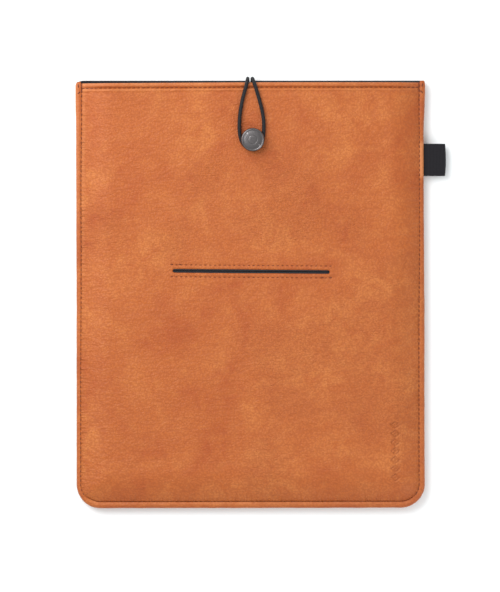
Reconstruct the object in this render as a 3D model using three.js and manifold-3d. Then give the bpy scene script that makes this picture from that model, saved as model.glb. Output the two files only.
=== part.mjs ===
// Padded leather sleeve for an e-reader, lying on its back.
// Millimetres. +X is to the right, +Y towards the mouth and +Z up, out of the front panel.
// The origin is on the rear panel's flat outer face, in the middle of the sleeve's outline.

import * as THREE from 'three';
import { mergeVertices } from 'three/addons/utils/BufferGeometryUtils.js';
import Module from 'manifold-3d';

const wasm = await Module();
wasm.setup();

// ---------------------------------------------------------------- driving dimensions

// Outline of the sleeve
const HALF_WIDTH = 108;
const MOUTH_Y = 131.6; // front panel's top edge
const REAR_MOUTH_Y = 133.4; // rear panel's top edge, a little longer
const BOTTOM_Y = -131.6;
const CORNER_RADIUS = 15;
const LEAN_LEFT = 1.2; // how far each side leans in, from mouth to bottom
const LEAN_RIGHT = 0.6;

// Plies
const LEATHER = 0.9;
const LINING = 0.35;
const PLY_GAP = 0.3; // air between neighbouring plies
const SHELL_INSET = 1.6; // plies end this far inside the binding's outer edge
const LINING_INSET = 1.8;
const FOAM_INSET = 7;
const FOAM_MOUTH_INSET = 6;
const REAR_FOAM_MOUTH_INSET = 9;

// Heights of the lower faces of the plies, in the flat middle and in the side seam
const SEAM_MID = 4.8;
const REAR_LINING_FLAT = 3.7;
const FRONT_LINING_FLAT = 9.05;
const FRONT_SHELL_FLAT = 13.2;
const REAR_LINING_SEAM = SEAM_MID - PLY_GAP / 2 - LINING;
const REAR_SHELL_SEAM = REAR_LINING_SEAM - PLY_GAP - LEATHER;
const FRONT_LINING_SEAM = SEAM_MID + PLY_GAP / 2;
const FRONT_SHELL_SEAM = FRONT_LINING_SEAM + LINING + PLY_GAP;

// The panels round over towards the seam, from SEAM_FLAT in from the edge, over ROLL
const SEAM_FLAT = 4;
const ROLL = 14;
const ROLL_POWER = 2.2;

// Mouth hems
const HEM_LINE = 3.3; // stitch row, in from the edge
const HEM_FROM = 3;
const HEM_TO = 9;
const FRONT_HEM_DROP = 0.5;
const REAR_HEM_LIFT = 0.8;
const LINING_JOINS_FROM = 4; // the lining closes up to the shell between these
const LINING_JOINS_TO = 12;
const SHELL_CURL = 0.9; // radius of the turned edge, at the ply's middle
const LINING_CURL = 1.1;
const CURL_SIDE_INSET = 4.6; // turned edges stop short of the side binding
const FRONT_LINING_END = 3; // the front lining stops this far under the turned edge
const LOOP_ROOM = 2.7; // extra room in the rear hem for the elastic's ends

// Edge binding
const BIND_WALL = 0.8;
const BIND_HALF_HEIGHT = 2.3; // to the middle of its wall
const BIND_RIGHT = 3.7; // visible widths
const BIND_BOTTOM = 3.5;
const BIND_LEFT_LOW = 2.6;
const BIND_LEFT_TOP = 4;
const BIND_END = 0.5; // the binding ends this far past the front mouth edge

// Slit and slip pocket behind it
const SLIT_LENGTH = 97;
const SLIT_HEIGHT = 2.2;
const SLIT_X = 0.7;
const SLIT_Y = 14.6;
const SLIT_TILT = -0.46 * Math.PI / 180;
const SLIT_ROW = 3.7; // stitch rows, above and below the slit
const SLIT_ROW_OVER = 0.4; // each row runs this far past the slit's ends
const FACING_LENGTH = 106;
const FACING_HEIGHT = 13;
const FACING = 0.25;
const FACING_SLOT = 1.4;
const POCKET_WIDTH = 124;
const POCKET_TOP = 28;
const POCKET_BOTTOM = -92;
const POCKET_PLY = 0.25;
const POCKET_GAP = 0.2;
const POCKET_BED_ROOM = 1.2; // round the pocket, in the foam

// Button
const BUTTON_X = 1.7;
const BUTTON_Y = 95.9;
const CAP_RADIUS = 7.25;
const CAP_LOW = 17;
const CAP_TOP = 19.8;
const SHANK_BORE = 1.3;
const NAIL_RADIUS = 1;
const TACK_HEAD_RADIUS = 4.5;
const PATCH_RADIUS = 8;
const PATCH = 0.5;
const ROUND_SIDES = 32;

// Elastic loop
const LOOP_DIAMETER = 2.3;
const LOOP_STEPS = 76;
const LOOP_SIDES = 8;
const LOOP_TACK = [[-3, 126.6, 2.1], [3, 127.9, 3.8]]; // low and high corner

// Side tab
const TAB_Y = 83.7;
const TAB_WIDTH = 20;
const TAB_TIP_X = 121.4;
const TAB_ROOT_X = 104.6;
const TAB_PLY = 0.6;

// Thread
const THREAD = 0.4;
const THREAD_LIFT = 0.12;
const SEAM_ROW_IN = 0.5; // seam rows, in from the binding's edge

// ---------------------------------------------------------------- materials

function finish(colour, roughness, metalness = 0) {
  return { color: colour, roughness, metalness };
}

const LEATHER_FINISH = finish(0xcd7547, 0.55);
const FOAM_FINISH = finish(0xc9c6bd, 0.95);
const LINING_FINISH = finish(0x23212a, 0.85);
const WEBBING_FINISH = finish(0x2d2b30, 0.9);
const ELASTIC_FINISH = finish(0x26272b, 0.8);
const THREAD_FINISH = finish(0x7d4126, 0.7);
const BLACK_THREAD_FINISH = finish(0x1d1c20, 0.7);
const METAL_FINISH = finish(0x787172, 0.4, 1);
const BOARD_FINISH = finish(0x3a3634, 0.9);

const group = new THREE.Group();
group.name = 'sleeve';

function addPiece(name, geometry, look) {
  geometry.computeVertexNormals();
  const mesh = new THREE.Mesh(geometry, new THREE.MeshStandardMaterial(look));
  mesh.name = name;
  group.add(mesh);
}

// ---------------------------------------------------------------- geometry helpers

function weld(geometry) {
  geometry.deleteAttribute('normal');
  geometry.deleteAttribute('uv');
  return mergeVertices(geometry);
}

function toSolid(geometry) {
  const welded = geometry.index && !geometry.attributes.uv ? geometry : weld(geometry);
  const vertProperties = new Float32Array(welded.attributes.position.array);
  const triVerts = new Uint32Array(welded.index.array);
  return new wasm.Manifold(new wasm.Mesh({ numProp: 3, vertProperties, triVerts }));
}

function toGeometry(solid) {
  const mesh = solid.getMesh();
  const geometry = new THREE.BufferGeometry();
  geometry.setAttribute('position', new THREE.BufferAttribute(new Float32Array(mesh.vertProperties), 3));
  geometry.setIndex(new THREE.BufferAttribute(new Uint32Array(mesh.triVerts), 1));
  return geometry;
}

function cutAway(geometry, tools) {
  let solid = toSolid(geometry);
  for (const tool of tools) {
    solid = solid.subtract(toSolid(tool));
  }
  return toGeometry(solid);
}

function block(low, high) {
  const size = high.map((value, axis) => value - low[axis]);
  const geometry = new THREE.BoxGeometry(...size);
  geometry.translate(...low.map((value, axis) => value + size[axis] / 2));
  return geometry;
}

function turned(points) {
  const profile = points.map(([radius, z]) => new THREE.Vector2(radius, z));
  const geometry = new THREE.LatheGeometry(profile, ROUND_SIDES);
  geometry.rotateX(Math.PI / 2);
  geometry.translate(BUTTON_X, BUTTON_Y, 0);
  return geometry;
}

// A flat bar with half-round ends, as long and wide as said over the ends, centred at the origin.
function roundEndedBar(length, width, low, high) {
  const half = length / 2 - width / 2;
  const shape = new THREE.Shape();
  shape.absarc(half, 0, width / 2, -Math.PI / 2, Math.PI / 2, false);
  shape.absarc(-half, 0, width / 2, Math.PI / 2, Math.PI * 1.5, false);
  const options = { depth: high - low, bevelEnabled: false, curveSegments: 6 };
  const geometry = new THREE.ExtrudeGeometry(shape, options);
  geometry.translate(0, 0, low);
  return geometry;
}

function atSlit(geometry) {
  geometry.rotateZ(SLIT_TILT);
  geometry.translate(SLIT_X, SLIT_Y, 0);
  return geometry;
}

// A box of cells whose corners are moved to place(u, v, w): u and v come from the lists, and w is 0 or 1.
function bentBox(us, vs, place) {
  const geometry = new THREE.BoxGeometry(1, 1, 1, us.length - 1, vs.length - 1, 1);
  const position = geometry.attributes.position;
  for (let i = 0; i < position.count; i += 1) {
    const u = us[Math.round((position.getX(i) + 0.5) * (us.length - 1))];
    const v = vs[Math.round((position.getY(i) + 0.5) * (vs.length - 1))];
    const w = Math.round(position.getZ(i) + 0.5);
    position.setXYZ(i, ...place(u, v, w));
  }
  return weld(geometry);
}

function smooth(value, from, to) {
  const t = Math.min(Math.max((value - from) / (to - from), 0), 1);
  return t * t * (3 - 2 * t);
}

function mix(a, b, t) {
  return a + (b - a) * t;
}

function range(count, from, to) {
  return Array.from({ length: count + 1 }, (_, i) => mix(from, to, i / count));
}

// ---------------------------------------------------------------- outline

// Sides lean in a little towards the bottom.
function lean(x, y) {
  const down = (MOUTH_Y - y) / (MOUTH_Y - BOTTOM_Y);
  const edge = Math.abs(x) / HALF_WIDTH;
  return x < 0 ? x + LEAN_LEFT * down * edge : x - LEAN_RIGHT * down * edge;
}

// Place of a point in a sheet that ends `inset` inside the outline, and its distance from the sewn edge.
function plan(x, y, inset) {
  const aside = HALF_WIDTH - Math.abs(x);
  const above = y - BOTTOM_Y;
  if (aside >= CORNER_RADIUS || above >= CORNER_RADIUS) {
    return { x: lean(x, y), y, edge: Math.min(aside, above) };
  }
  const radius = CORNER_RADIUS - inset;
  const p = (CORNER_RADIUS - aside) / radius;
  const q = (CORNER_RADIUS - above) / radius;
  const across = p * Math.sqrt(1 - q * q / 2) * radius;
  const down = q * Math.sqrt(1 - p * p / 2) * radius;
  const cornerX = Math.sign(x) * (HALF_WIDTH - CORNER_RADIUS + across);
  const cornerY = BOTTOM_Y + CORNER_RADIUS - down;
  return { x: lean(cornerX, cornerY), y: cornerY, edge: CORNER_RADIUS - Math.hypot(across, down) };
}

// ---------------------------------------------------------------- heights of the plies

function rise(edge) {
  const t = Math.min(Math.max((edge - SEAM_FLAT) / ROLL, 0), 1);
  return 1 - (1 - t) ** ROLL_POWER;
}

function hem(mouth) {
  return 1 - smooth(mouth, HEM_FROM, HEM_TO);
}

function joined(mouth) {
  return 1 - smooth(mouth, LINING_JOINS_FROM, LINING_JOINS_TO);
}

function frontShellLow(edge, mouth) {
  const up = rise(edge);
  return mix(FRONT_SHELL_SEAM, FRONT_SHELL_FLAT, up) - FRONT_HEM_DROP * hem(mouth) * up;
}

function rearShellLow(edge, mouth) {
  const up = rise(edge);
  return mix(REAR_SHELL_SEAM, 0, up) + REAR_HEM_LIFT * hem(mouth) * up;
}

function frontLiningLow(edge, mouth) {
  const open = mix(FRONT_LINING_SEAM, FRONT_LINING_FLAT, rise(edge));
  const closed = frontShellLow(edge, mouth) - PLY_GAP - LINING;
  return mix(open, closed, joined(mouth));
}

function rearLiningLow(edge, mouth) {
  const up = rise(edge);
  const open = mix(REAR_LINING_SEAM, REAR_LINING_FLAT, up);
  const closed = rearShellLow(edge, mouth) + LEATHER + PLY_GAP + LOOP_ROOM * up;
  return mix(open, closed, joined(mouth));
}

// ---------------------------------------------------------------- sheets

const EDGE_STEPS = [SEAM_FLAT, 5.2, 6.5, 8.2, 10, 12.5, CORNER_RADIUS, SEAM_FLAT + ROLL];
const MOUTH_STEPS = [12, 9, 7, 5, 3.3];

function sideStations(inset) {
  const steps = [inset, ...EDGE_STEPS.filter((step) => step > inset + 0.5)];
  const right = steps.map((step) => HALF_WIDTH - step);
  return [...right.map((x) => -x), ...right.reverse()];
}

// Rows of a sheet from the bottom up. With a curl angle it is turned over at the mouth.
function rows(inset, mouthY, endGap, drawn, curl) {
  const low = [inset, ...EDGE_STEPS.filter((step) => step > inset + 0.5)];
  const high = MOUTH_STEPS.filter((step) => step > endGap + 0.2);
  const list = low.map((step) => ({ y: BOTTOM_Y + step, mouth: mouthY - BOTTOM_Y, turn: 0 }));
  high.forEach((step) => list.push({ y: mouthY - step, mouth: step, turn: 0 }));
  list.push({ y: mouthY - endGap, mouth: endGap, turn: 0, drawn });
  if (curl > 0) {
    range(4, 0, curl).slice(1).forEach((turn) => {
      list.push({ y: mouthY - endGap, mouth: endGap, turn, drawn });
    });
  }
  return list;
}

// Rows at a turned edge are drawn in at both ends, clear of the side binding.
function drawnIn(x, inset) {
  const clear = EDGE_STEPS[1];
  const aside = HALF_WIDTH - Math.abs(x);
  if (aside >= clear) {
    return x;
  }
  const t = (aside - inset) / (clear - inset);
  return Math.sign(x) * (HALF_WIDTH - mix(CURL_SIDE_INSET, clear, t));
}

function sheet({ inset, mouthY, endGap, drawn = false, curl = 0, curlRadius = 0, low, high }) {
  return bentBox(sideStations(inset), rows(inset, mouthY, endGap, drawn, curl), (side, row, w) => {
    const at = plan(row.drawn ? drawnIn(side, inset) : side, row.y, inset);
    const { edge } = plan(side, row.y, inset);
    const under = low(edge, row.mouth);
    const thick = high(edge, row.mouth) - under;
    if (row.turn === 0) {
      return [at.x, at.y, under + thick * w];
    }
    const reach = curlRadius + (w - 0.5) * thick;
    const centre = under + thick / 2 - curlRadius;
    return [at.x, at.y + reach * Math.sin(row.turn), centre + reach * Math.cos(row.turn)];
  });
}

const CURL_TURN = Math.PI * 0.55;
const CUT_LOW = -5; // cutting tools run between these heights, and this far past what they cut
const CUT_HIGH = 30;
const CUT_PAST = 2;

function buildShells() {
  const shell = sheet({
    inset: SHELL_INSET,
    mouthY: MOUTH_Y,
    endGap: SHELL_CURL + LEATHER / 2,
    drawn: true,
    curl: CURL_TURN,
    curlRadius: SHELL_CURL,
    low: frontShellLow,
    high: (edge, mouth) => frontShellLow(edge, mouth) + LEATHER,
  });
  const slit = atSlit(roundEndedBar(SLIT_LENGTH, SLIT_HEIGHT, CUT_LOW, CUT_HIGH));
  const nailHole = turned([[0, CUT_LOW], [SHANK_BORE, CUT_LOW], [SHANK_BORE, CUT_HIGH], [0, CUT_HIGH]]);
  addPiece('front_shell', cutAway(shell, [slit, nailHole]), LEATHER_FINISH);

  const rear = sheet({
    inset: SHELL_INSET,
    mouthY: REAR_MOUTH_Y,
    endGap: LINING_CURL,
    low: rearShellLow,
    high: (edge, mouth) => rearShellLow(edge, mouth) + LEATHER,
  });
  addPiece('rear_shell', rear, LEATHER_FINISH);
}

const TAB_ROOM = 0.3;
const TAB_SLOT_HALF = 1; // half the height of the binding's slot for it

// The space that the side tab takes in the seam, with a little room round it.
function tabRoom() {
  const half = TAB_WIDTH / 2 + TAB_ROOM;
  const high = [HALF_WIDTH + CUT_PAST, TAB_Y + half, CUT_HIGH];
  return block([TAB_ROOT_X - TAB_ROOM, TAB_Y - half, CUT_LOW], high);
}

// The rear lining is notched where the elastic's two ends go into the hem.
const NOTCH_HALF = 3.2;
const NOTCH_DEPTH = 4.2;

function buildLinings() {
  const front = sheet({
    inset: LINING_INSET,
    mouthY: MOUTH_Y,
    endGap: FRONT_LINING_END,
    low: frontLiningLow,
    high: (edge, mouth) => frontLiningLow(edge, mouth) + LINING,
  });
  addPiece('front_lining', cutAway(front, [tabRoom()]), LINING_FINISH);

  const rear = sheet({
    inset: LINING_INSET,
    mouthY: REAR_MOUTH_Y,
    endGap: LINING_CURL + LINING / 2,
    drawn: true,
    curl: CURL_TURN,
    curlRadius: LINING_CURL,
    low: rearLiningLow,
    high: (edge, mouth) => rearLiningLow(edge, mouth) + LINING,
  });
  const notch = block(
    [-NOTCH_HALF, REAR_MOUTH_Y - NOTCH_DEPTH, CUT_LOW],
    [NOTCH_HALF, REAR_MOUTH_Y + CUT_PAST, CUT_HIGH],
  );
  addPiece('rear_lining', cutAway(rear, [tabRoom(), notch]), LINING_FINISH);
}

// Heights of the slip pocket's plies, downwards from the front shell
const FACING_LOW = FRONT_SHELL_FLAT - POCKET_GAP - FACING;
const FRONT_PLY_LOW = FACING_LOW - POCKET_GAP - POCKET_PLY;
const REAR_PLY_LOW = FRONT_PLY_LOW - POCKET_GAP - POCKET_PLY;
const PATCH_LOW = FRONT_SHELL_FLAT - POCKET_GAP - PATCH;
const TACK_HEAD = [PATCH_LOW - 0.9, PATCH_LOW - 0.2];

function buildPadding() {
  const foam = sheet({
    inset: FOAM_INSET,
    mouthY: MOUTH_Y,
    endGap: FOAM_MOUTH_INSET,
    low: (edge, mouth) => frontLiningLow(edge, mouth) + LINING + PLY_GAP,
    high: (edge, mouth) => frontShellLow(edge, mouth) - PLY_GAP,
  });
  const half = POCKET_WIDTH / 2 + POCKET_BED_ROOM;
  const pocketBed = block(
    [-half, POCKET_BOTTOM - POCKET_BED_ROOM, REAR_PLY_LOW - PLY_GAP],
    [half, POCKET_TOP + POCKET_BED_ROOM, CUT_HIGH],
  );
  const bedLow = TACK_HEAD[0] - PLY_GAP;
  const bedRadius = PATCH_RADIUS + PLY_GAP;
  const buttonBed = turned([[0, bedLow], [bedRadius, bedLow], [bedRadius, CUT_HIGH], [0, CUT_HIGH]]);
  addPiece('front_padding', cutAway(foam, [pocketBed, buttonBed]), FOAM_FINISH);

  const rear = sheet({
    inset: FOAM_INSET,
    mouthY: REAR_MOUTH_Y,
    endGap: REAR_FOAM_MOUTH_INSET,
    low: (edge, mouth) => rearShellLow(edge, mouth) + LEATHER + PLY_GAP,
    high: (edge, mouth) => rearLiningLow(edge, mouth) - PLY_GAP,
  });
  addPiece('rear_padding', rear, FOAM_FINISH);
}

// ---------------------------------------------------------------- edge binding

// Stations along the binding: plan place at `inward` from its outer edge, and its visible width there.
function seamStation(side, y, angle) {
  const onCorner = angle !== null;
  return (inward) => {
    if (!onCorner) {
      return [side * (HALF_WIDTH - inward), y];
    }
    const radius = CORNER_RADIUS - inward;
    const centreX = side * (HALF_WIDTH - CORNER_RADIUS);
    return [centreX + side * radius * Math.cos(angle), BOTTOM_Y + CORNER_RADIUS - radius * Math.sin(angle)];
  };
}

function leftWidth(y) {
  return mix(BIND_LEFT_LOW, BIND_LEFT_TOP, smooth(y, 20, MOUTH_Y));
}

function seamStations(endY) {
  const cornerY = BOTTOM_Y + CORNER_RADIUS;
  const ys = [endY, 122, 105, 85, 60, 20, -40, cornerY];
  const turns = range(6, 0, Math.PI / 2).slice(1);
  const left = ys.map((y) => ({ at: seamStation(-1, y, null), width: leftWidth(y) }));
  const leftTurn = turns.map((angle) => ({
    at: seamStation(-1, 0, angle),
    width: mix(BIND_LEFT_LOW, BIND_BOTTOM, angle / (Math.PI / 2)),
  }));
  const right = ys.map((y) => ({ at: seamStation(1, y, null), width: BIND_RIGHT }));
  const rightTurn = turns.map((angle) => ({
    at: seamStation(1, 0, angle),
    width: mix(BIND_RIGHT, BIND_BOTTOM, angle / (Math.PI / 2)),
  }));
  return [...left, ...leftTurn, ...rightTurn.reverse(), ...right.reverse()];
}

// Section of the folded strip, at the middle of its wall: [inward, height], from the rear leg to the front.
function bindingSection(width) {
  const flat = BIND_HALF_HEIGHT;
  const half = [[0.4, 1.2], [0.75, 1.95], [1.6, flat]];
  return [[width, -flat], ...half.map(([e, z]) => [e, -z]).reverse(), ...half, [width, flat]];
}

function seamPoint(station, inward, z) {
  const [x, y] = station.at(inward);
  return [lean(x, y), y, z];
}

function buildBinding() {
  const places = bindingSection(1).length;
  const stations = seamStations(MOUTH_Y + BIND_END);
  const strip = bentBox(stations, range(places - 1, 0, places - 1), (station, v, w) => {
    const section = bindingSection(station.width);
    const i = Math.round(v);
    const before = section[Math.max(i - 1, 0)];
    const after = section[Math.min(i + 1, places - 1)];
    const along = new THREE.Vector2(after[0] - before[0], after[1] - before[1]).normalize();
    const offset = (w - 0.5) * BIND_WALL;
    const [inward, height] = section[i];
    return seamPoint(station, inward - along.y * offset, SEAM_MID + height + along.x * offset);
  });
  const slot = block(
    [HALF_WIDTH - 2.5, TAB_Y - TAB_WIDTH / 2 - TAB_ROOM, SEAM_MID - TAB_SLOT_HALF],
    [HALF_WIDTH + CUT_PAST, TAB_Y + TAB_WIDTH / 2 + TAB_ROOM, SEAM_MID + TAB_SLOT_HALF],
  );
  addPiece('edge_binding', cutAway(strip, [slot]), LEATHER_FINISH);
}

// ---------------------------------------------------------------- slip pocket

function buildPocket() {
  const facing = roundEndedBar(FACING_LENGTH, FACING_HEIGHT, FACING_LOW, FACING_LOW + FACING);
  const slot = roundEndedBar(SLIT_LENGTH, FACING_SLOT, CUT_LOW, CUT_HIGH);
  addPiece('slit_facing', atSlit(cutAway(facing, [slot])), LINING_FINISH);

  const half = POCKET_WIDTH / 2;
  const front = block([-half, POCKET_BOTTOM, FRONT_PLY_LOW], [half, POCKET_TOP, FRONT_PLY_LOW + POCKET_PLY]);
  const mouth = atSlit(roundEndedBar(SLIT_LENGTH, FACING_SLOT, CUT_LOW, CUT_HIGH));
  addPiece('pocket_front_ply', cutAway(front, [mouth]), LINING_FINISH);

  const rear = block([-half, POCKET_BOTTOM, REAR_PLY_LOW], [half, POCKET_TOP, REAR_PLY_LOW + POCKET_PLY]);
  addPiece('pocket_rear_ply', weld(rear), LINING_FINISH);

  // The overlock stitch runs round the outside of both plies' edges.
  const gap = POCKET_GAP;
  const high = FRONT_PLY_LOW + POCKET_PLY;
  const wide = half + gap + THREAD;
  const outer = block([-wide, POCKET_BOTTOM - gap - THREAD, REAR_PLY_LOW], [wide, POCKET_TOP, high]);
  const inner = block(
    [-half - gap, POCKET_BOTTOM - gap, CUT_LOW],
    [half + gap, POCKET_TOP + CUT_PAST, CUT_HIGH],
  );
  addPiece('pocket_overlock', cutAway(outer, [inner]), BLACK_THREAD_FINISH);
}

// ---------------------------------------------------------------- button

function buildButton() {
  const [headLow, headHigh] = TACK_HEAD;
  const nailTop = CAP_LOW + 1;
  const nail = turned([
    [0, headLow], [TACK_HEAD_RADIUS - 0.3, headLow], [TACK_HEAD_RADIUS, headLow + 0.3],
    [TACK_HEAD_RADIUS, headHigh], [NAIL_RADIUS, headHigh], [NAIL_RADIUS, nailTop - 0.4],
    [NAIL_RADIUS - 0.4, nailTop], [0, nailTop],
  ]);
  addPiece('button_tack', weld(nail), METAL_FINISH);

  const patchHigh = PATCH_LOW + PATCH;
  const patch = turned([
    [SHANK_BORE, PATCH_LOW], [PATCH_RADIUS, PATCH_LOW], [PATCH_RADIUS, patchHigh],
    [SHANK_BORE, patchHigh], [SHANK_BORE, PATCH_LOW],
  ]);
  addPiece('button_patch', weld(patch), BOARD_FINISH);

  const foot = FRONT_SHELL_FLAT + LEATHER + 0.2;
  const collar = turned([
    [SHANK_BORE, foot], [3.2, foot], [3.2, foot + 0.4], [2.3, foot + 0.9], [2.3, CAP_LOW - 0.6],
    [3.2, CAP_LOW - 0.1], [3.2, CAP_LOW + 0.5], [SHANK_BORE, CAP_LOW + 0.5], [SHANK_BORE, foot],
  ]);
  addPiece('button_shank', weld(collar), METAL_FINISH);

  const recess = 3.5;
  const cap = turned([
    [0, CAP_LOW + 1.4], [recess, CAP_LOW + 1.4], [recess, CAP_LOW], [CAP_RADIUS - 0.6, CAP_LOW],
    [CAP_RADIUS, CAP_LOW + 0.5], [CAP_RADIUS, CAP_TOP - 1], [CAP_RADIUS - 0.5, CAP_TOP - 0.4],
    [CAP_RADIUS - 2, CAP_TOP - 0.1], [0, CAP_TOP],
  ]);
  addPiece('button_cap', weld(cap), METAL_FINISH);
}

// ---------------------------------------------------------------- elastic loop

// Route of the elastic: out of the rear hem, up past the mouth, over the front hem, under the cap and back.
const LOOP_ROUTE = [
  [-1.5, 128.2, 3.05], [-1.5, 130.1, 3.05], [-1.5, 131.6, 3.3], [-1.48, 132.8, 4.05], [-1.45, 133.6, 5.2],
  [-1.42, 133.9, 6.65], [-1.4, 133.95, 9], [-1.42, 133.9, 11.3], [-1.5, 133.5, 12.95], [-1.65, 132.55, 14.4],
  [-1.95, 131.2, 15.2], [-2.35, 129.4, 15.35], [-3.4, 125.6, 15.35], [-4.9, 119.6, 15.35], [-6.1, 112.4, 15.35],
  [-6.6, 105, 15.4], [-6.25, 98.9, 15.45], [-5.3, 95.4, 15.5], [-3.7, 92.7, 15.5], [-1.4, 90.8, 15.5],
  [1.7, 90.05, 15.5], [4.7, 90.8, 15.5], [6.9, 92.9, 15.5], [7.9, 96, 15.5], [8.35, 99.6, 15.45],
  [8.55, 104.5, 15.4], [8.2, 110, 15.35], [7, 116, 15.35], [5.1, 123, 15.35], [3.2, 129.2, 15.35],
  [2.55, 131.2, 15.2], [2.05, 132.55, 14.4], [1.7, 133.5, 12.95], [1.5, 133.9, 11.3], [1.42, 133.95, 9],
  [1.42, 133.9, 6.65], [1.45, 133.6, 5.2], [1.48, 132.8, 4.05], [1.5, 131.6, 3.3], [1.5, 130.1, 3.05],
  [1.5, 128.2, 3.05],
];

function buildLoop() {
  const route = new THREE.CatmullRomCurve3(LOOP_ROUTE.map((point) => new THREE.Vector3(...point)));
  const shape = new THREE.Shape();
  for (let i = 0; i < LOOP_SIDES; i += 1) {
    const angle = (i + 0.5) / LOOP_SIDES * Math.PI * 2;
    const x = Math.cos(angle) * LOOP_DIAMETER / 2;
    const y = Math.sin(angle) * LOOP_DIAMETER / 2;
    if (i === 0) {
      shape.moveTo(x, y);
    } else {
      shape.lineTo(x, y);
    }
  }
  shape.closePath();
  const options = { steps: LOOP_STEPS, extrudePath: route, bevelEnabled: false };
  addPiece('elastic_loop', weld(new THREE.ExtrudeGeometry(shape, options)), ELASTIC_FINISH);

  // The bar tack lies across both ends, inside the rear hem.
  addPiece('loop_tack', weld(block(...LOOP_TACK)), BLACK_THREAD_FINISH);
}

// ---------------------------------------------------------------- side tab

function buildTab() {
  const near = TAB_PLY / 2 + 0.05;
  const far = 0.95;
  const tip = TAB_TIP_X - TAB_PLY / 2;
  const lower = [
    [TAB_ROOT_X, -near], [HALF_WIDTH + 0.4, -near], [111, -0.7], [114, -far], [tip - far, -far],
  ];
  const fold = range(6, -Math.PI / 2, Math.PI / 2).slice(1, -1);
  const round = fold.map((angle) => [tip - far + far * Math.cos(angle), far * Math.sin(angle)]);
  const path = [...lower, ...round, ...lower.map(([x, z]) => [x, -z]).reverse()];
  const last = path.length - 1;
  const ribbon = bentBox(range(last, 0, last), [-0.5, 0, 0.5], (u, v, w) => {
    const i = Math.round(u);
    const before = path[Math.max(i - 1, 0)];
    const after = path[Math.min(i + 1, last)];
    const along = new THREE.Vector2(after[0] - before[0], after[1] - before[1]).normalize();
    const offset = (0.5 - w) * TAB_PLY;
    const x = path[i][0] + along.y * offset;
    const z = SEAM_MID + path[i][1] - along.x * offset;
    return [x, TAB_Y + v * TAB_WIDTH, z];
  });
  addPiece('side_tab', ribbon, WEBBING_FINISH);
}

// ---------------------------------------------------------------- thread

// A run of thread along the stations, a square bead: centre(station) gives its lowest middle point.
function threadRun(stations, across, centre) {
  return bentBox(stations, [-0.5, 0.5], (station, v, w) => {
    const [x, y, z] = centre(station, v * across);
    return [x, y, z + w * THREAD];
  });
}

function buildSeamThreads() {
  const wall = BIND_HALF_HEIGHT + BIND_WALL / 2 + THREAD_LIFT;
  const threads = [['seam_thread_front', SEAM_MID + wall], ['seam_thread_rear', SEAM_MID - wall - THREAD]];
  threads.forEach(([name, z]) => {
    const run = threadRun(seamStations(MOUTH_Y - 1), THREAD, (station, across) => {
      return seamPoint(station, station.width - SEAM_ROW_IN + across, z);
    });
    addPiece(name, run, THREAD_FINISH);
  });
}

const TACK_LENGTH = 5;
const TACK_DOWN = 1.6; // below the mouth edge

function buildCornerTacks() {
  const z = SEAM_MID + BIND_HALF_HEIGHT + BIND_WALL / 2 + THREAD_LIFT;
  const tacks = [['corner_tack_left', -1, BIND_LEFT_TOP], ['corner_tack_right', 1, BIND_RIGHT]];
  tacks.forEach(([name, side, width]) => {
    const x = side * (HALF_WIDTH - width + SEAM_ROW_IN + THREAD * 1.6); // beside the seam's own row
    const y = MOUTH_Y - TACK_DOWN;
    const low = [x - THREAD / 2, y - TACK_LENGTH, z];
    addPiece(name, weld(block(low, [x + THREAD / 2, y, z + THREAD])), THREAD_FINISH);
  });
}

function buildMouthThreads() {
  const steps = EDGE_STEPS.slice(1).map((step) => HALF_WIDTH - step);
  const xs = [...steps.map((x) => -x), ...steps.reverse()];
  const front = threadRun(xs, THREAD, (x, across) => {
    const edge = HALF_WIDTH - Math.abs(x);
    return [x, MOUTH_Y - HEM_LINE + across, frontShellLow(edge, HEM_LINE) + LEATHER + THREAD_LIFT];
  });
  addPiece('mouth_thread_front', front, THREAD_FINISH);

  const rear = threadRun(xs, THREAD, (x, across) => {
    const edge = HALF_WIDTH - Math.abs(x);
    return [x, REAR_MOUTH_Y - HEM_LINE + across, rearShellLow(edge, HEM_LINE) - THREAD_LIFT - THREAD];
  });
  addPiece('mouth_thread_rear', rear, THREAD_FINISH);
}

function buildSlitThreads() {
  const half = SLIT_LENGTH / 2 + SLIT_ROW_OVER;
  const z = FRONT_SHELL_FLAT + LEATHER + THREAD_LIFT;
  [['slit_thread_upper', SLIT_ROW], ['slit_thread_lower', -SLIT_ROW]].forEach(([name, y]) => {
    const bead = block([-half, y - THREAD / 2, z], [half, y + THREAD / 2, z + THREAD]);
    addPiece(name, weld(atSlit(bead)), THREAD_FINISH);
  });
}

buildShells();
buildLinings();
buildPadding();
buildBinding();
buildPocket();
buildButton();
buildLoop();
buildTab();
buildSeamThreads();
buildCornerTacks();
buildMouthThreads();
buildSlitThreads();

export default group;
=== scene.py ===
"""Padded leather sleeve for an e-reader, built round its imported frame, one operator a part."""

import math

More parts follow.
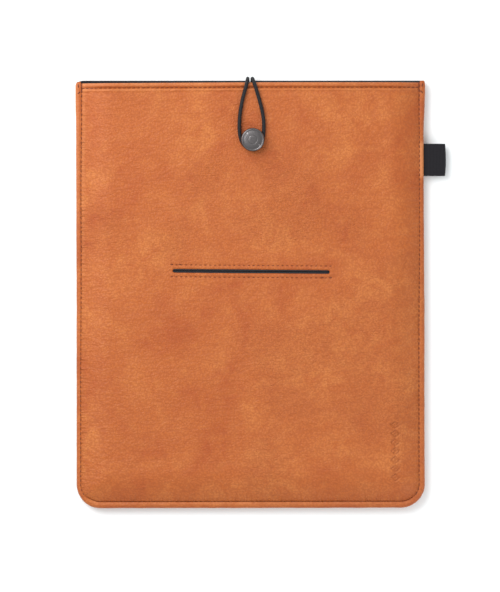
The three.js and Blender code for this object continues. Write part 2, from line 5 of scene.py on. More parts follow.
import bpy
import numpy as np
from bpy.props import FloatProperty, FloatVectorProperty, IntProperty, PointerProperty
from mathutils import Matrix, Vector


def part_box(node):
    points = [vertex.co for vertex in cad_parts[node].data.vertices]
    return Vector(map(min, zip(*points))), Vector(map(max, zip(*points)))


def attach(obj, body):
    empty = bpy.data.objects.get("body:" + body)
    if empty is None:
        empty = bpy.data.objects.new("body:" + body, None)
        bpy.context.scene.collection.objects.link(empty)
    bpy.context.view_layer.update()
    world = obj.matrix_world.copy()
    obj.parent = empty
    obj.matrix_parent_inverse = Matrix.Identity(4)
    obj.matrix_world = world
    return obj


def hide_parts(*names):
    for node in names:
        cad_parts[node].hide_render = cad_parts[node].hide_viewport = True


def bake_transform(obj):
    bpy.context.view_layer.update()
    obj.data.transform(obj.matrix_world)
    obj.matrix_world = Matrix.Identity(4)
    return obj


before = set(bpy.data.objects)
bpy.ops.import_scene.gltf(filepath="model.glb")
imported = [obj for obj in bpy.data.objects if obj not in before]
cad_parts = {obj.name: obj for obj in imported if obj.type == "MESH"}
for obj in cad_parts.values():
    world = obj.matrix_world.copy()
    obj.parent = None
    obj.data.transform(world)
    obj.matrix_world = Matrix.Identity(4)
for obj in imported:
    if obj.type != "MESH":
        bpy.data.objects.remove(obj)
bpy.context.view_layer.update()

bl_info = {
    "name": "E-reader sleeve",
    "version": (1, 0, 0),
    "blender": (4, 5, 0),
    "location": "View3D > Sidebar > Sleeve",
    "description": "Builds a padded leather sleeve with its stitching, button, elastic loop and side tab",
    "category": "Add Mesh",
}

# ---------------------------------------------------------------- sizes, in millimetres

MM = 0.001


def box_mm(node):
    """Lowest and highest corner of a frame node, in millimetres."""
    low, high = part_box(node)
    return np.array(low) / MM, np.array(high) / MM


BINDING_LOW, BINDING_HIGH = box_mm("edge_binding")
SHELL_LOW, SHELL_HIGH = box_mm("front_shell")
REAR_LOW, REAR_HIGH = box_mm("rear_shell")
HALF_WIDTH = BINDING_HIGH[0]
BOTTOM_Y = BINDING_LOW[1]
MOUTH_Y = SHELL_HIGH[1]
REAR_MOUTH_Y = box_mm("rear_lining")[1][1]
REAR_EDGE_Y = REAR_MOUTH_Y - 0.55      # where the soft rear hem ends, a little short of its solid
FRONT_TOP = SHELL_HIGH[2]
SEAM_MID = (BINDING_LOW[2] + BINDING_HIGH[2]) / 2
SEAM_HALF = (BINDING_HIGH[2] - BINDING_LOW[2]) / 2
SHELL_INSET = HALF_WIDTH - SHELL_HIGH[0]
CORNER_RADIUS = 15.0
LEATHER = 0.9
LINING = 0.35
SHELL_SEAM_GAP = SHELL_LOW[2] - SEAM_MID  # seam's middle to the front leather's under side
DITCH_STEP = 1.42          # how much the panel lifts right beside the binding
HEM_LINE = 3.1
MOUTH_CURL = 1.35          # radius of the front leather's turned mouth edge
FOLD_TURNS = 7             # steps round a turned edge
VIEW_HEIGHT = 365.86       # how much the camera sees from top to bottom
SLIT_CENTRE = (box_mm("slit_facing")[0] + box_mm("slit_facing")[1]) / 2
SLIT_TILT = math.radians(-0.46)
SLIT_LENGTH = 97.0
SLIT_HEIGHT = 2.2
SLIT_ROW = 3.7
CAP_LOW, CAP_HIGH = box_mm("button_cap")
BUTTON_X, BUTTON_Y = ((CAP_LOW + CAP_HIGH) / 2)[:2]
CAP_RADIUS = (CAP_HIGH[0] - CAP_LOW[0]) / 2
TAB_LOW, TAB_HIGH = box_mm("side_tab")
TAB_Y = (TAB_LOW[1] + TAB_HIGH[1]) / 2
BIND_BOTTOM = 3.8
BIND_WALL = 0.8

# Route of the elastic, out of the rear hem, over the front hem, under the cap and back, in metres
LOOP_ROUTE = [
    (-0.00150, 0.12820, 0.00305), (-0.00150, 0.13010, 0.00305), (-0.00150, 0.13160, 0.00330),
    (-0.00148, 0.13280, 0.00405), (-0.00145, 0.13360, 0.00520), (-0.00142, 0.13390, 0.00665),
    (-0.00140, 0.13395, 0.00900), (-0.00142, 0.13390, 0.01130), (-0.00150, 0.13350, 0.01295),
    (-0.00165, 0.13255, 0.01440), (-0.00195, 0.13120, 0.01520), (-0.00235, 0.12940, 0.01535),
    (-0.00340, 0.12560, 0.01535), (-0.00490, 0.11960, 0.01535), (-0.00610, 0.11240, 0.01535),
    (-0.00660, 0.10500, 0.01540), (-0.00625, 0.09890, 0.01545), (-0.00530, 0.09540, 0.01550),
    (-0.00370, 0.09270, 0.01550), (-0.00140, 0.09080, 0.01550), (0.00170, 0.09005, 0.01550),
    (0.00470, 0.09080, 0.01550), (0.00690, 0.09290, 0.01550), (0.00790, 0.09600, 0.01550),
    (0.00835, 0.09960, 0.01545), (0.00855, 0.10450, 0.01540), (0.00820, 0.11000, 0.01535),
    (0.00700, 0.11600, 0.01535), (0.00510, 0.12300, 0.01535), (0.00320, 0.12920, 0.01535),
    (0.00255, 0.13120, 0.01520), (0.00205, 0.13255, 0.01440), (0.00170, 0.13350, 0.01295),
    (0.00150, 0.13390, 0.01130), (0.00142, 0.13395, 0.00900), (0.00142, 0.13390, 0.00665),
    (0.00145, 0.13360, 0.00520), (0.00148, 0.13280, 0.00405), (0.00150, 0.13160, 0.00330),
    (0.00150, 0.13010, 0.00305), (0.00150, 0.12820, 0.00305),
]
LOOP_DIAMETER = 2.3
CORD_APART = 3.0          # between the elastic's two ends, where they come out of the rear hem


# ---------------------------------------------------------------- settings

def length_setting(name, description, default, low, high):
    """A length, given in millimetres and kept in metres."""
    return FloatProperty(name=name, description=description, default=default * MM,
                         min=low * MM, max=high * MM, unit="LENGTH")


def colour_setting(name, description, default):
    return FloatVectorProperty(name=name, description=description, default=default,
                               subtype="COLOR", size=3, min=0, max=1)


class SleeveSizes(bpy.types.PropertyGroup):
    """Sizes a maker would change."""

    stitch_pitch: length_setting(
        "Stitch pitch", "Distance from one stitch to the next", 2.9, 1.5, 6)
    thread_width: length_setting(
        "Thread width", "Thickness of the sewing thread", 0.6, 0.2, 1.2)
    roll: length_setting(
        "Roll", "How far in from the seam the padded panels round over", 19, 4, 30)
    hem_groove: length_setting(
        "Hem groove", "Depth of the groove that the mouth's stitch row pulls in", 0.85, 0, 1.5)
    waviness: length_setting(
        "Waviness", "Height of the leather's slow waves over the padding", 0.22, 0, 1)
    seed: IntProperty(
        name="Seed", description="Changes the leather's random waves and stitches", default=7)


class SleeveColours(bpy.types.PropertyGroup):
    """Colours a maker would change."""

    leather: colour_setting("Leather", "Middle tone of the tan leather", (0.404, 0.0978, 0.0150))
    leather_light: colour_setting("Leather light", "Worn, lighter patches", (0.476, 0.141, 0.0285))
    leather_dark: colour_setting("Leather dark", "Reddish, darker patches", (0.354, 0.0715, 0.0103))
    thread: colour_setting("Thread", "Sewing thread of the leather", (0.130, 0.028, 0.009))
    cloth: colour_setting("Lining", "Cloth of the lining and pocket", (0.0045, 0.0047, 0.0080))
    webbing: colour_setting("Webbing", "Ribbon of the side tab", (0.0042, 0.0035, 0.0055))
    elastic: colour_setting("Elastic", "Braided cover of the elastic", (0.0024, 0.0023, 0.0042))


# ---------------------------------------------------------------- mesh helpers

def mesh_object(name, points, faces, uv=None, smooth=True, tone=None):
    """A mesh object from points in millimetres. Each point has a place in the map uv and a tone."""
    mesh = bpy.data.meshes.new(name)
    mesh.from_pydata((np.asarray(points) * MM).tolist(), [], faces)
    if uv is not None:
        layer = mesh.uv_layers.new(name="Surface")
        loops = np.empty(len(mesh.loops), dtype=np.int32)
        mesh.loops.foreach_get("vertex_index", loops)
        layer.data.foreach_set("uv", np.asarray(uv, dtype=np.float32)[loops].ravel())
    if tone is not None:
        layer = mesh.attributes.new("tone", "FLOAT", "POINT")
        layer.data.foreach_set("value", np.asarray(tone, np.float32))
    mesh.polygons.foreach_set("use_smooth", [smooth] * len(mesh.polygons))
    mesh.update()
    piece = bpy.data.objects.new(name, mesh)
    bpy.context.scene.collection.objects.link(piece)
    return piece


def two_sided(name, top, bottom, keep=None, uv=None, tone=None):
    """A closed sheet between two grids of points, with walls along its edges and round its holes."""
    ny, nx = top.shape[:2]
    index = np.arange(ny * nx).reshape(ny, nx)
    quads = np.stack([index[:-1, :-1], index[:-1, 1:], index[1:, 1:], index[1:, :-1]], axis=-1)
    if keep is None:
        keep = np.ones((ny - 1, nx - 1), dtype=bool)
    upper = quads[keep]
    lower = upper[:, ::-1] + ny * nx
    used = {}
    for quad in upper.tolist():
        for a, b in zip(quad, quad[1:] + quad[:1]):
            if (b, a) in used:
                del used[(b, a)]
            else:
                used[(a, b)] = True
    walls = [(b, a, a + ny * nx, b + ny * nx) for a, b in used]
    points = np.concatenate([top.reshape(-1, 3), bottom.reshape(-1, 3)])
    faces = upper.tolist() + lower.tolist() + walls
    wanted = np.unique(np.array([corner for face in faces for corner in face]))
    places = None if uv is None else np.concatenate([uv.reshape(-1, 2)] * 2)[wanted]
    marks = None if tone is None else np.concatenate([tone.ravel()] * 2)[wanted]
    renumber = np.full(len(points), -1)
    renumber[wanted] = np.arange(len(wanted))
    faces = [tuple(int(renumber[corner]) for corner in face) for face in faces]
    return mesh_object(name, points[wanted], faces, places, tone=marks)


def turned(name, profile, centre, sides):
    """A closed body turned from (radius, height) points that end on the axis or where they start."""
    profile = np.asarray(profile, dtype=float)
    closed = profile[0, 0] > 0
    if closed:
        profile = profile[:-1]
    points, rings = [], []
    for radius, height in profile:
        if radius == 0:
            rings.append([len(points)] * sides)
            points.append((centre[0], centre[1], height))
            continue
        rings.append(list(range(len(points), len(points) + sides)))
        for i in range(sides):
            angle = 2 * math.pi * i / sides
            points.append((centre[0] + radius * math.cos(angle),
                           centre[1] + radius * math.sin(angle), height))
    faces = []
    pairs = list(zip(rings, rings[1:] + rings[:1] if closed else rings[1:]))
    for low, high in pairs:
        for i in range(sides):
            j = (i + 1) % sides
            corners = [low[i], low[j], high[j], high[i]]
            face = [c for k, c in enumerate(corners) if c != corners[k - 1]]
            if len(face) > 2:
                faces.append(face)
    return mesh_object(name, points, faces)


def round_profile(corners, radius, steps=4):
    """Rounds the inner corners of an open profile with short arcs."""
    corners = np.asarray(corners, dtype=float)
    out = [tuple(corners[0])]
    for before, here, after in zip(corners[:-2], corners[1:-1], corners[2:]):
        back, on = before - here, after - here
        reach = min(radius, np.linalg.norm(back) * 0.45, np.linalg.norm(on) * 0.45)
        start = here + back / np.linalg.norm(back) * reach
        end = here + on / np.linalg.norm(on) * reach
        for t in np.linspace(0, 1, steps + 1):
            out.append(tuple((1 - t) ** 2 * start + 2 * t * (1 - t) * here + t ** 2 * end))
    out.append(tuple(corners[-1]))
    return out


def stations(stops):
    """Rising stations from (place, step) pairs: from each place on, at that step, to the next."""
    out = []
    for (start, step), (end, _) in zip(stops[:-1], stops[1:]):
        count = max(1, math.ceil((end - start) / step - 1e-9))
        out.extend(np.linspace(start, end, count, endpoint=False))
    out.append(stops[-1][0])
    return np.array(out)


def smooth(value, start, end):
    t = np.clip((value - start) / (end - start), 0, 1)
    return t * t * (3 - 2 * t)


def cloud(x, y, size, seed):
    """Smooth random heights from about -1 to 1, with features of about that size."""
    table = np.random.default_rng(seed).uniform(-1, 1, (64, 64))
    u, v = np.asarray(x) / size + 17.3, np.asarray(y) / size + 23.7
    i, j = np.floor(u).astype(int), np.floor(v).astype(int)
    s, t = u - i, v - j
    s, t = s * s * (3 - 2 * s), t * t * (3 - 2 * t)
    i0, i1, j0, j1 = i % 64, (i + 1) % 64, j % 64, (j + 1) % 64
    low = table[j0, i0] * (1 - s) + table[j0, i1] * s
    high = table[j1, i0] * (1 - s) + table[j1, i1] * s
    return low * (1 - t) + high * t


def crease(x, y, along, across, angle, seed):
    """Valleys from 0 to 1 that run at that angle, broken up along their length."""
    c, s = math.cos(angle), math.sin(angle)
    u, v = x * c + y * s, -x * s + y * c
    v = v + 0.6 * across * cloud(u, v, along * 0.6, seed + 1)
    line = np.exp(-(cloud(u / along * across, v, across, seed) / 0.16) ** 2)
    return line * smooth(cloud(x, y, along, seed + 2), -0.1, 0.5)


# ---------------------------------------------------------------- the sleeve's outline and heights

def lean(x, y):
    """Small bows of the sides: both splay out at the mouth, the right one again lower down."""
    left = -0.58 + 0.38 * smooth(y, -20, 95) + 0.4 * smooth(y, 100, 130)
    right = 0.1 - 0.5 * smooth(y, -20, 85) + 0.9 * smooth(y, 98, 128)
    right = right + 0.3 * (1 - smooth(y, -125, -80))
    share = (np.abs(x) / HALF_WIDTH) ** 3
    return np.where(x < 0, x - left * share, x + right * share)


def dip(x, y, z):
    """The bottom edge and the front mouth edge both sag a little towards the left."""
    low = (0.33 - 0.0017 * x) * smooth(-y, 90, 131)
    high = 0.6 * (1 - smooth(x, -110, 30)) * smooth(y, 95, 131) * smooth(z, 5.3, 6.6)
    return y - low - high


def settled(x, y, z):
    """Points of the regular sleeve, moved to where the soft one has them."""
    return np.stack([lean(x, y), dip(x, y, z), z + np.zeros_like(x)], axis=-1)


def along_seam(x, y):
    """Each point's place along and in from the sewn edge, for the gathers beside the seam."""
    aside, above = HALF_WIDTH - np.abs(x), y - BOTTOM_Y
    turn = np.arctan2(CORNER_RADIUS - above, CORNER_RADIUS - aside)
    corner = (aside < CORNER_RADIUS) & (above < CORNER_RADIUS)
    beyond = np.clip(aside - CORNER_RADIUS, 0, None)
    on_side = np.where(aside < above, BOTTOM_Y + CORNER_RADIUS - y,
                       CORNER_RADIUS * math.pi / 2 + beyond)
    run = np.where(corner, CORNER_RADIUS * np.clip(turn, 0, math.pi / 2), on_side)
    away = np.where(corner, CORNER_RADIUS - np.hypot(CORNER_RADIUS - above, CORNER_RADIUS - aside),
                    np.minimum(aside, above))
    return np.stack([run, away - band_width(x, y)], axis=-1) * MM


def outline_plan(x, y, inset):
    """Place of a sheet's points inside the rounded outline, and their distance from its sewn edge."""
    aside = HALF_WIDTH - np.abs(x)
    above = y - BOTTOM_Y
    radius = CORNER_RADIUS - inset
    p = np.clip((CORNER_RADIUS - aside) / radius, 0, 1)
    q = np.clip((CORNER_RADIUS - above) / radius, 0, 1)
    across = p * np.sqrt(1 - q * q / 2) * radius
    down = q * np.sqrt(1 - p * p / 2) * radius
    plan_x = np.where(aside < CORNER_RADIUS, np.sign(x) * (HALF_WIDTH - CORNER_RADIUS + across), x)
    plan_y = np.where(above < CORNER_RADIUS, BOTTOM_Y + CORNER_RADIUS - down, y)
    corner = (aside < CORNER_RADIUS) & (above < CORNER_RADIUS)
    edge = np.where(corner, CORNER_RADIUS - np.hypot(across, down), np.minimum(aside, above))
    return plan_x, plan_y, edge


def bottom_share(x, y):
    """0 beside the sides' seams to 1 beside the bottom seam."""
    return smooth(HALF_WIDTH - np.abs(x) - (y - BOTTOM_Y), -6, 6)


def band_width(x, y):
    """Visible width of the binding beside a point."""
    left = 2.4 + 0.45 * smooth(y, -60, 40) + 0.75 * smooth(y, 60, 130)
    right = 2.4 + 0.85 * (1 - smooth(y, -20, 50)) + 0.15 * (1 - smooth(y, -120, -80))
    right = right + 1.1 * smooth(y, 95, 125)
    side = np.where(x < 0, left, right)
    return side + (BIND_BOTTOM - side) * bottom_share(x, y)


def rise(edge, band, roll, deep):
    """0 at the seam to 1 on the flat of a padded panel.

    deep goes from 0, where the panel steps up close beside the binding, to 1, where it leaves a
    ditch there.
    """
    inside = edge - band
    share = DITCH_STEP / (FRONT_TOP - SEAM_MID)
    step = share * smooth(inside, 0.35 * deep - 0.75, 0.35 + 0.6 * deep)
    t = np.clip((inside - 0.2) / roll, 0, 1)
    return step + (1 - share) * (1 - (1 - t) ** 2)


def lining_rise(edge):
    """0 at the seam to 1 where the linings lie flat round the pocket for the reader."""
    t = np.clip((edge - 4) / 11, 0, 1)
    return 1 - (1 - t) ** 2.2


def seam_pucker(x, y, edge, band, seed):
    """Small gathers beside the seam, fading out over the roll."""
    around = np.where(HALF_WIDTH - np.abs(x) < y - BOTTOM_Y, y, x)
    ripple = cloud(around, around * 0 + np.sign(x) * 9, 3.4, seed)
    ripple = ripple + 0.7 * cloud(around, x * 0, 7.5, seed + 1)
    away = np.clip(edge - band, 0, None)
    return ripple * np.exp(-away / 3.2) * smooth(away, 0, 1.2)


def hem_relief(mouth, depth):
    """Puffed hem, its stitched groove and the swelling behind the groove."""
    crown = 0.5 * np.sin(math.pi * np.clip(mouth / HEM_LINE, 0, 1))
    groove = -depth * np.exp(-((mouth - HEM_LINE) / 0.55) ** 2)
    return crown + groove + 0.55 * np.exp(-((mouth - HEM_LINE - 1.4) / 0.95) ** 2)


def slit_place(x, y):
    """Coordinates along and across the slit, from its centre."""
    dx, dy = x - SLIT_CENTRE[0], y - SLIT_CENTRE[1]
    c, s = math.cos(SLIT_TILT), math.sin(SLIT_TILT)
    return dx * c + dy * s, -dx * s + dy * c


def from_slit(along, across):
    """Plan place of a point given along and across the slit."""
    c, s = math.cos(SLIT_TILT), math.sin(SLIT_TILT)
    return SLIT_CENTRE[0] + along * c - across * s, SLIT_CENTRE[1] + along * s + across * c


def slit_distance(x, y):
    """Distance from the slit's edge; negative inside it."""
    along, across = slit_place(x, y)
    radius = SLIT_HEIGHT / 2
    beyond = np.clip(np.abs(along) - (SLIT_LENGTH / 2 - radius), 0, None)
    return np.hypot(beyond, across) - radius


ORNAMENT_X, ORNAMENT_Y = 89.6, -96.4
ORNAMENT_COUNT = 7
ORNAMENT_STEP = 5.4


def ornament(x, y):
    """Depth from 0 to 1 of the row of small pressed diamonds in the lower right corner."""
    row = (y - ORNAMENT_Y) / ORNAMENT_STEP
    nearest = np.clip(np.round(row), -(ORNAMENT_COUNT // 2), ORNAMENT_COUNT // 2)
    dx, dy = np.abs(x - ORNAMENT_X), np.abs(row - nearest) * ORNAMENT_STEP
    shape = dx / 2.9 + dy / 2.3
    frame_line = np.exp(-((shape - 0.86) / 0.17) ** 2)
    return frame_line + 0.8 * smooth(-shape, -0.42, -0.22)


def front_tone(x, y, edge):
    """Below 0 for painted highlights, above 0 for painted shade."""
    mouth, inside = MOUTH_Y - y, edge - band_width(x, y)
    # Painted highlight along the hem's crown and below its groove, strongest at the left.
    hem = np.exp(-((mouth - 0.5) / 0.75) ** 2)
    hem = hem + 0.42 * np.exp(-((mouth - HEM_LINE - 1.05) / 0.65) ** 2)
    hem = hem * (1 - 0.55 * smooth(x, -100, 100)) * smooth(inside, 0.4, 1.6)
    hem = hem * (1 + 0.55 * cloud(x, 3 * mouth, 3.5, 91))
    # Painted highlight beside the left seam, towards the top.
    left = 0.3 * smooth(-x, 60, 100) * smooth(y, -90, 110)
    left = left * np.exp(-((inside - 1.4) / 1.1) ** 2)
    # Painted light in the side ditches, lightening their shade.
    ditch = 0.3 * (1 - bottom_share(x, y)) * np.exp(-((inside + 0.1) / 0.5) ** 2)
    # Painted shade in the pressed diamonds, and a painted highlight on a copy shifted to the lower right.
    mark = 0.85 * ornament(x, y) - 0.3 * ornament(x - 0.7, y + 0.7)
    return mark - 0.9 * hem - left - ditch


def binding_tone(x, y, inward):
    """Below 0 for painted highlights on the binding: at the upper left, below, and over the tab."""
    # Painted highlight along the outer side of the left band, towards the top.
    outer = np.exp(-((inward - 1.0) / 0.9) ** 2)
    left = 0.35 * smooth(-x, 60, 100) * smooth(y, 0, 100)
    # Painted highlight where the band runs over the tab.
    tab = smooth(x, 60, 100) * smooth(12.5 - np.abs(y - TAB_Y), 0, 3)
    # Painted highlight along the bottom band's ridge beside the ditch.
    low = smooth(BOTTOM_Y + 6 - y, 0, 3) * (1 + 0.6 * cloud(x, 0 * x, 2.4, 93))
    lip = 0.22 * low * np.exp(-((inward - BIND_BOTTOM + 0.9) / 0.7) ** 2)
    return -outer * left - lip - 0.8 * tab * np.exp(-((inward - 1.6) / 1.1) ** 2)


def front_top_height(x, y, edge, sizes):
    """Outer face of the front leather, in millimetres."""
    band = band_width(x, y)
    up = rise(edge, band, sizes.roll / MM, bottom_share(x, y))
    seam = SEAM_MID + SHELL_SEAM_GAP + LEATHER
    mouth = MOUTH_Y - y
    seed = sizes.seed
    height = seam + (FRONT_TOP - seam) * up
    height = height - up * 0.5 * (1 - smooth(mouth, 3, 9))
    height = height + up * hem_relief(mouth, sizes.hem_groove / MM)
    wave = cloud(x, y, 46, seed) + 0.55 * cloud(x, y, 21, seed + 3) + 0.25 * cloud(x, y, 9, seed + 5)
    height = height + sizes.waviness / MM * (wave - 0.9) * up * smooth(mouth, 4, 14)
    height = height + 0.16 * seam_pucker(x, y, edge, band, seed + 11)
    height = height + 0.13 * up * cloud(x, y * 0.3, 5.5, seed + 21) * np.exp(-np.abs(mouth - 4.2) / 2.4)
    upper = smooth(y, 20, 90)
    creases = crease(x, y, 16, 3.1, math.radians(38), seed + 31) * smooth(x, 20, 70)
    creases = creases + 0.8 * crease(x, y, 12, 3.6, math.radians(24), seed + 41) * smooth(-x, 30, 80)
    height = height - 0.16 * creases * upper * up
    along, across = slit_place(x, y)
    ends = smooth(SLIT_LENGTH / 2 + 3 - np.abs(along), 0, 3)
    gap = np.clip(slit_distance(x, y), 0, None)
    height = height - 0.55 * np.clip(1 - gap / 0.75, 0, 1) ** 2
    height = height + 0.2 * ends * np.exp(-((np.abs(across) - 2.3) / 0.9) ** 2)
    height = height - 0.2 * ends * np.exp(-((np.abs(across) - SLIT_ROW) / 0.5) ** 2)
    button = np.hypot(x - BUTTON_X, y - BUTTON_Y)
    height = height - 0.3 * np.exp(-(button / 6.5) ** 2)
    return height - 0.5 * ornament(x, y)


def rear_low_height(x, y, edge, sizes):
    """Outer, lower face of the rear leather, in millimetres. Its flat lies at zero."""
    band = band_width(x, y)
    up = rise(edge, band, sizes.roll / MM, bottom_share(x, y))
    seam = SEAM_MID - SHELL_SEAM_GAP - LEATHER
    mouth = REAR_EDGE_Y - y
    height = seam * (1 - up) + up * 0.8 * (1 - smooth(mouth, 3, 9))
    height = height - up * 0.7 * hem_relief(mouth, 0.6)
    return height - 0.1 * np.abs(seam_pucker(x, y, edge, band, sizes.seed + 61)) * (1 - up)


def front_lining_low(x, y, edge, sizes):
    """Lower face of the front lining."""
    up = lining_rise(edge)
    opened = SEAM_MID + 0.15 + (9.05 - SEAM_MID - 0.15) * up
    mouth = MOUTH_Y - y
    closed = front_top_height(x, y, edge, sizes) - LEATHER - 0.3 - LINING
    joined = 1 - smooth(mouth, 4, 12)
    return opened + (closed - opened) * joined


def rear_lining_low(x, y, edge, sizes):
    """Lower face of the rear lining. It takes the same values as front_lining_low."""
    up = lining_rise(edge)
    seam = SEAM_MID - 0.15 - LINING
    opened = seam + (3.7 - seam) * up
    mouth = REAR_EDGE_Y - y
    shell = (SEAM_MID - SHELL_SEAM_GAP - LEATHER) * (1 - up) + 0.8 * (1 - smooth(mouth, 3, 9)) * up
    closed = shell + LEATHER + 0.3 + 2.7 * up
    joined = 1 - smooth(mouth, 4, 12)
    return opened + (closed - opened) * joined


EDGE_STOPS = [(2.0, 0.35), (5.6, 0.6), (9, 0.9), (15, 1.6)]


def side_stations(inset, step, extra=()):
    """X stations of a panel, close together at the sides and round each extra."""
    near = stations([(inset, 0.8)] + [s for s in EDGE_STOPS if s[0] > inset])
    right = HALF_WIDTH - near
    middle = [np.linspace(-right[-1], right[-1], math.ceil(2 * right[-1] / step) + 1)]
    out = np.concatenate([-right, *middle, right])
    return thicken(out, extra)


def thicken(places, extra):
    """Adds closer stations round each extra (centre, reach, step), and drops those that crowd it."""
    places = np.unique(np.round(places, 4))
    for centre, reach, step in extra:
        places = places[np.abs(places - centre) > reach + step * 0.6]
        count = max(2, round(2 * reach / step) + 1)
        places = np.sort(np.concatenate([places, np.linspace(centre - reach, centre + reach, count)]))
    return places


# ---------------------------------------------------------------- materials

class Nodes:
    """Short way to lay out a material's nodes."""

    def __init__(self, name):
        self.material = bpy.data.materials.new(name)
        self.material.use_nodes = True
        self.tree = self.material.node_tree
        self.shader = self.tree.nodes["Principled BSDF"]

    def add(self, kind, **values):
        """Adds a node. Upper-case names are its inputs, lower-case ones its settings."""
        node = self.tree.nodes.new("ShaderNode" + kind)
        for key, value in values.items():
            if key[0].islower():
                setattr(node, key, value)
            else:
                self.put(node, key.replace("_", " "), value)
        return node

    def put(self, node, name, value):
        """Gives an input, named or numbered as in I0, a value or another node's socket."""
        numbered = name[0] == "I" and name[1:].isdigit()
        socket = node.inputs[int(name[1:]) if numbered else name]
        if isinstance(value, bpy.types.NodeSocket):
            self.tree.links.new(value, socket)
        else:
            socket.default_value = value

    def shade(self, **values):
        for key, value in values.items():
            self.put(self.shader, key.replace("_", " "), value)
        return self.material

    def place(self):
        return self.add("TexCoord").outputs["Object"]

    def uv(self):
        return self.add("UVMap", uv_map="Surface").outputs["UV"]

    def mapped(self, vector, scale=(1, 1, 1), turn=(0, 0, 0)):
        return self.add("Mapping", Vector=vector, Scale=scale, Rotation=turn).outputs["Vector"]

    def noise(self, vector, scale, detail=2.0, rough=0.5, distort=0.0):
        return self.add("TexNoise", Vector=vector, Scale=scale, Detail=detail, Roughness=rough,
                        Distortion=distort).outputs["Fac"]

    def math(self, operation, a, b=0.0, clamp=False):
        return self.add("Math", operation=operation, use_clamp=clamp, I0=a, I1=b).outputs[0]

    def span(self, value, low, high, to_low=0.0, to_high=1.0):
        return self.add("MapRange", Value=value, From_Min=low, From_Max=high, To_Min=to_low,
                        To_Max=to_high).outputs["Result"]

    def mix(self, factor, a, b):
        a, b = (c if isinstance(c, bpy.types.NodeSocket) else (*c, 1.0) for c in (a, b))
        return self.add("Mix", data_type="RGBA", I0=factor, I6=a, I7=b).outputs[2]

    def bump(self, height, distance, strength=1.0, normal=None):
        node = self.add("Bump", Height=height, Distance=distance, Strength=strength)
        if normal is not None:
            self.put(node, "Normal", normal)
        return node.outputs["Normal"]


def scaled(colour, factor):
    return tuple(c * factor for c in colour)


# Painted highlight colour that the tone attribute's marks below 0 lay on the leather: on the hem, beside
# the left seam, in the side ditches and on the binding.
PAINTED_HIGHLIGHT = (0.60, 0.225, 0.080)


def leather_finish(colours):
    """Tan imitation leather: cloudy tone, pebble grain, fine wrinkles, and painted shade and highlights
    from the tone attribute.
    """
    n = Nodes("tan leather")
    place = n.place()
    light, middle, dark = tuple(colours.leather_light), tuple(colours.leather), tuple(colours.leather_dark)
    broad = n.noise(place, 26, 3.0, 0.55, 0.6)
    patch = n.noise(place, 75, 3.0, 0.6, 0.8)
    tone = n.mix(n.span(broad, 0.36, 0.64), dark, light)
    tone = n.mix(n.span(patch, 0.38, 0.64), tone, middle)
    warm = n.noise(place, 140, 2.0, 0.5)
    tone = n.mix(n.span(warm, 0.55, 0.78, 0.0, 0.5), tone, light)
    speck = n.noise(place, 620, 3.0, 0.6)
    tone = n.mix(n.span(speck, 0.28, 0.42, 0.45, 0.0), tone, scaled(dark, 0.86))
    drift = n.add("TexNoise", Vector=place, Scale=330, Detail=1.0).outputs["Color"]
    drift = n.add("VectorMath", operation="SCALE", I0=drift, Scale=0.0012).outputs[0]
    wobble = n.add("VectorMath", operation="ADD", I0=place, I1=drift).outputs[0]
    cells = n.add("TexVoronoi", feature="SMOOTH_F1", Vector=wobble, Scale=780, Smoothness=0.35)
    pebble = n.span(cells.outputs["Distance"], 0.05, 0.62, 1.0, 0.0)
    wrinkle = n.noise(n.mapped(place, (1, 1, 1), (0, 0, 0.6)), 420, 4.0, 0.62, 0.9)
    grain = n.math("ADD", n.math("MULTIPLY", pebble, 0.6), n.math("MULTIPLY", wrinkle, 0.7))
    valley = n.span(pebble, 0.0, 0.45, 0.35, 0.0)
    tone = n.mix(valley, tone, scaled(dark, 0.72))
    # The tone attribute paints light: above 0 it darkens the pressed ornament as painted shade, below 0 it
    # lays on painted highlights.
    wear_and_painted_light = n.add("Attribute", attribute_name="tone").outputs["Fac"]
    tone = n.mix(n.math("MULTIPLY", wear_and_painted_light, 0.42, clamp=True), tone, scaled(dark, 0.5))
    tone = n.mix(n.math("MULTIPLY", wear_and_painted_light, -1.0, clamp=True), tone, PAINTED_HIGHLIGHT)
    normal = n.bump(grain, 0.00030, 0.8)
    fold = n.noise(n.mapped(place, (1.0, 3.2, 1.0), (0, 0, -0.62)), 90, 3.0, 0.6, 1.2)
    normal = n.bump(n.span(fold, 0.35, 0.7), 0.0009, 0.32, normal)
    seam = n.add("SeparateXYZ", Vector=n.uv())
    near = n.span(seam.outputs["Y"], 0.0004, 0.0080, 1.0, 0.0)
    gather = n.noise(n.mapped(n.uv(), (1.0, 0.12, 1.0)), 640, 1.0, 0.5, 0.2)
    gather = n.math("MULTIPLY", n.math("MULTIPLY", near, near), n.span(gather, 0.35, 0.65))
    normal = n.bump(gather, 0.0009, 0.6, normal)
    # Painted shade: the gathers close to the seam are darkened along their lines.
    tone = n.mix(n.span(gather, 0.25, 0.9, 0.0, 0.12), tone, scaled(dark, 0.7))
    strain = n.noise(n.mapped(place, (1.0, 4.5, 1.0), (0, 0, -0.6)), 300, 3.0, 0.6, 0.6)
    where = n.span(n.noise(place, 17, 1.0), 0.5, 0.62)
    normal = n.bump(n.math("MULTIPLY", strain, where), 0.0007, 0.75, normal)
    rough = n.span(n.math("ADD", grain, n.math("MULTIPLY", patch, 0.5)), 0.4, 1.2, 0.62, 0.44)
    return n.shade(Base_Color=tone, Roughness=rough, Normal=normal, Specular_IOR_Level=0.35,
                   Sheen_Weight=0.01, Sheen_Roughness=0.5)


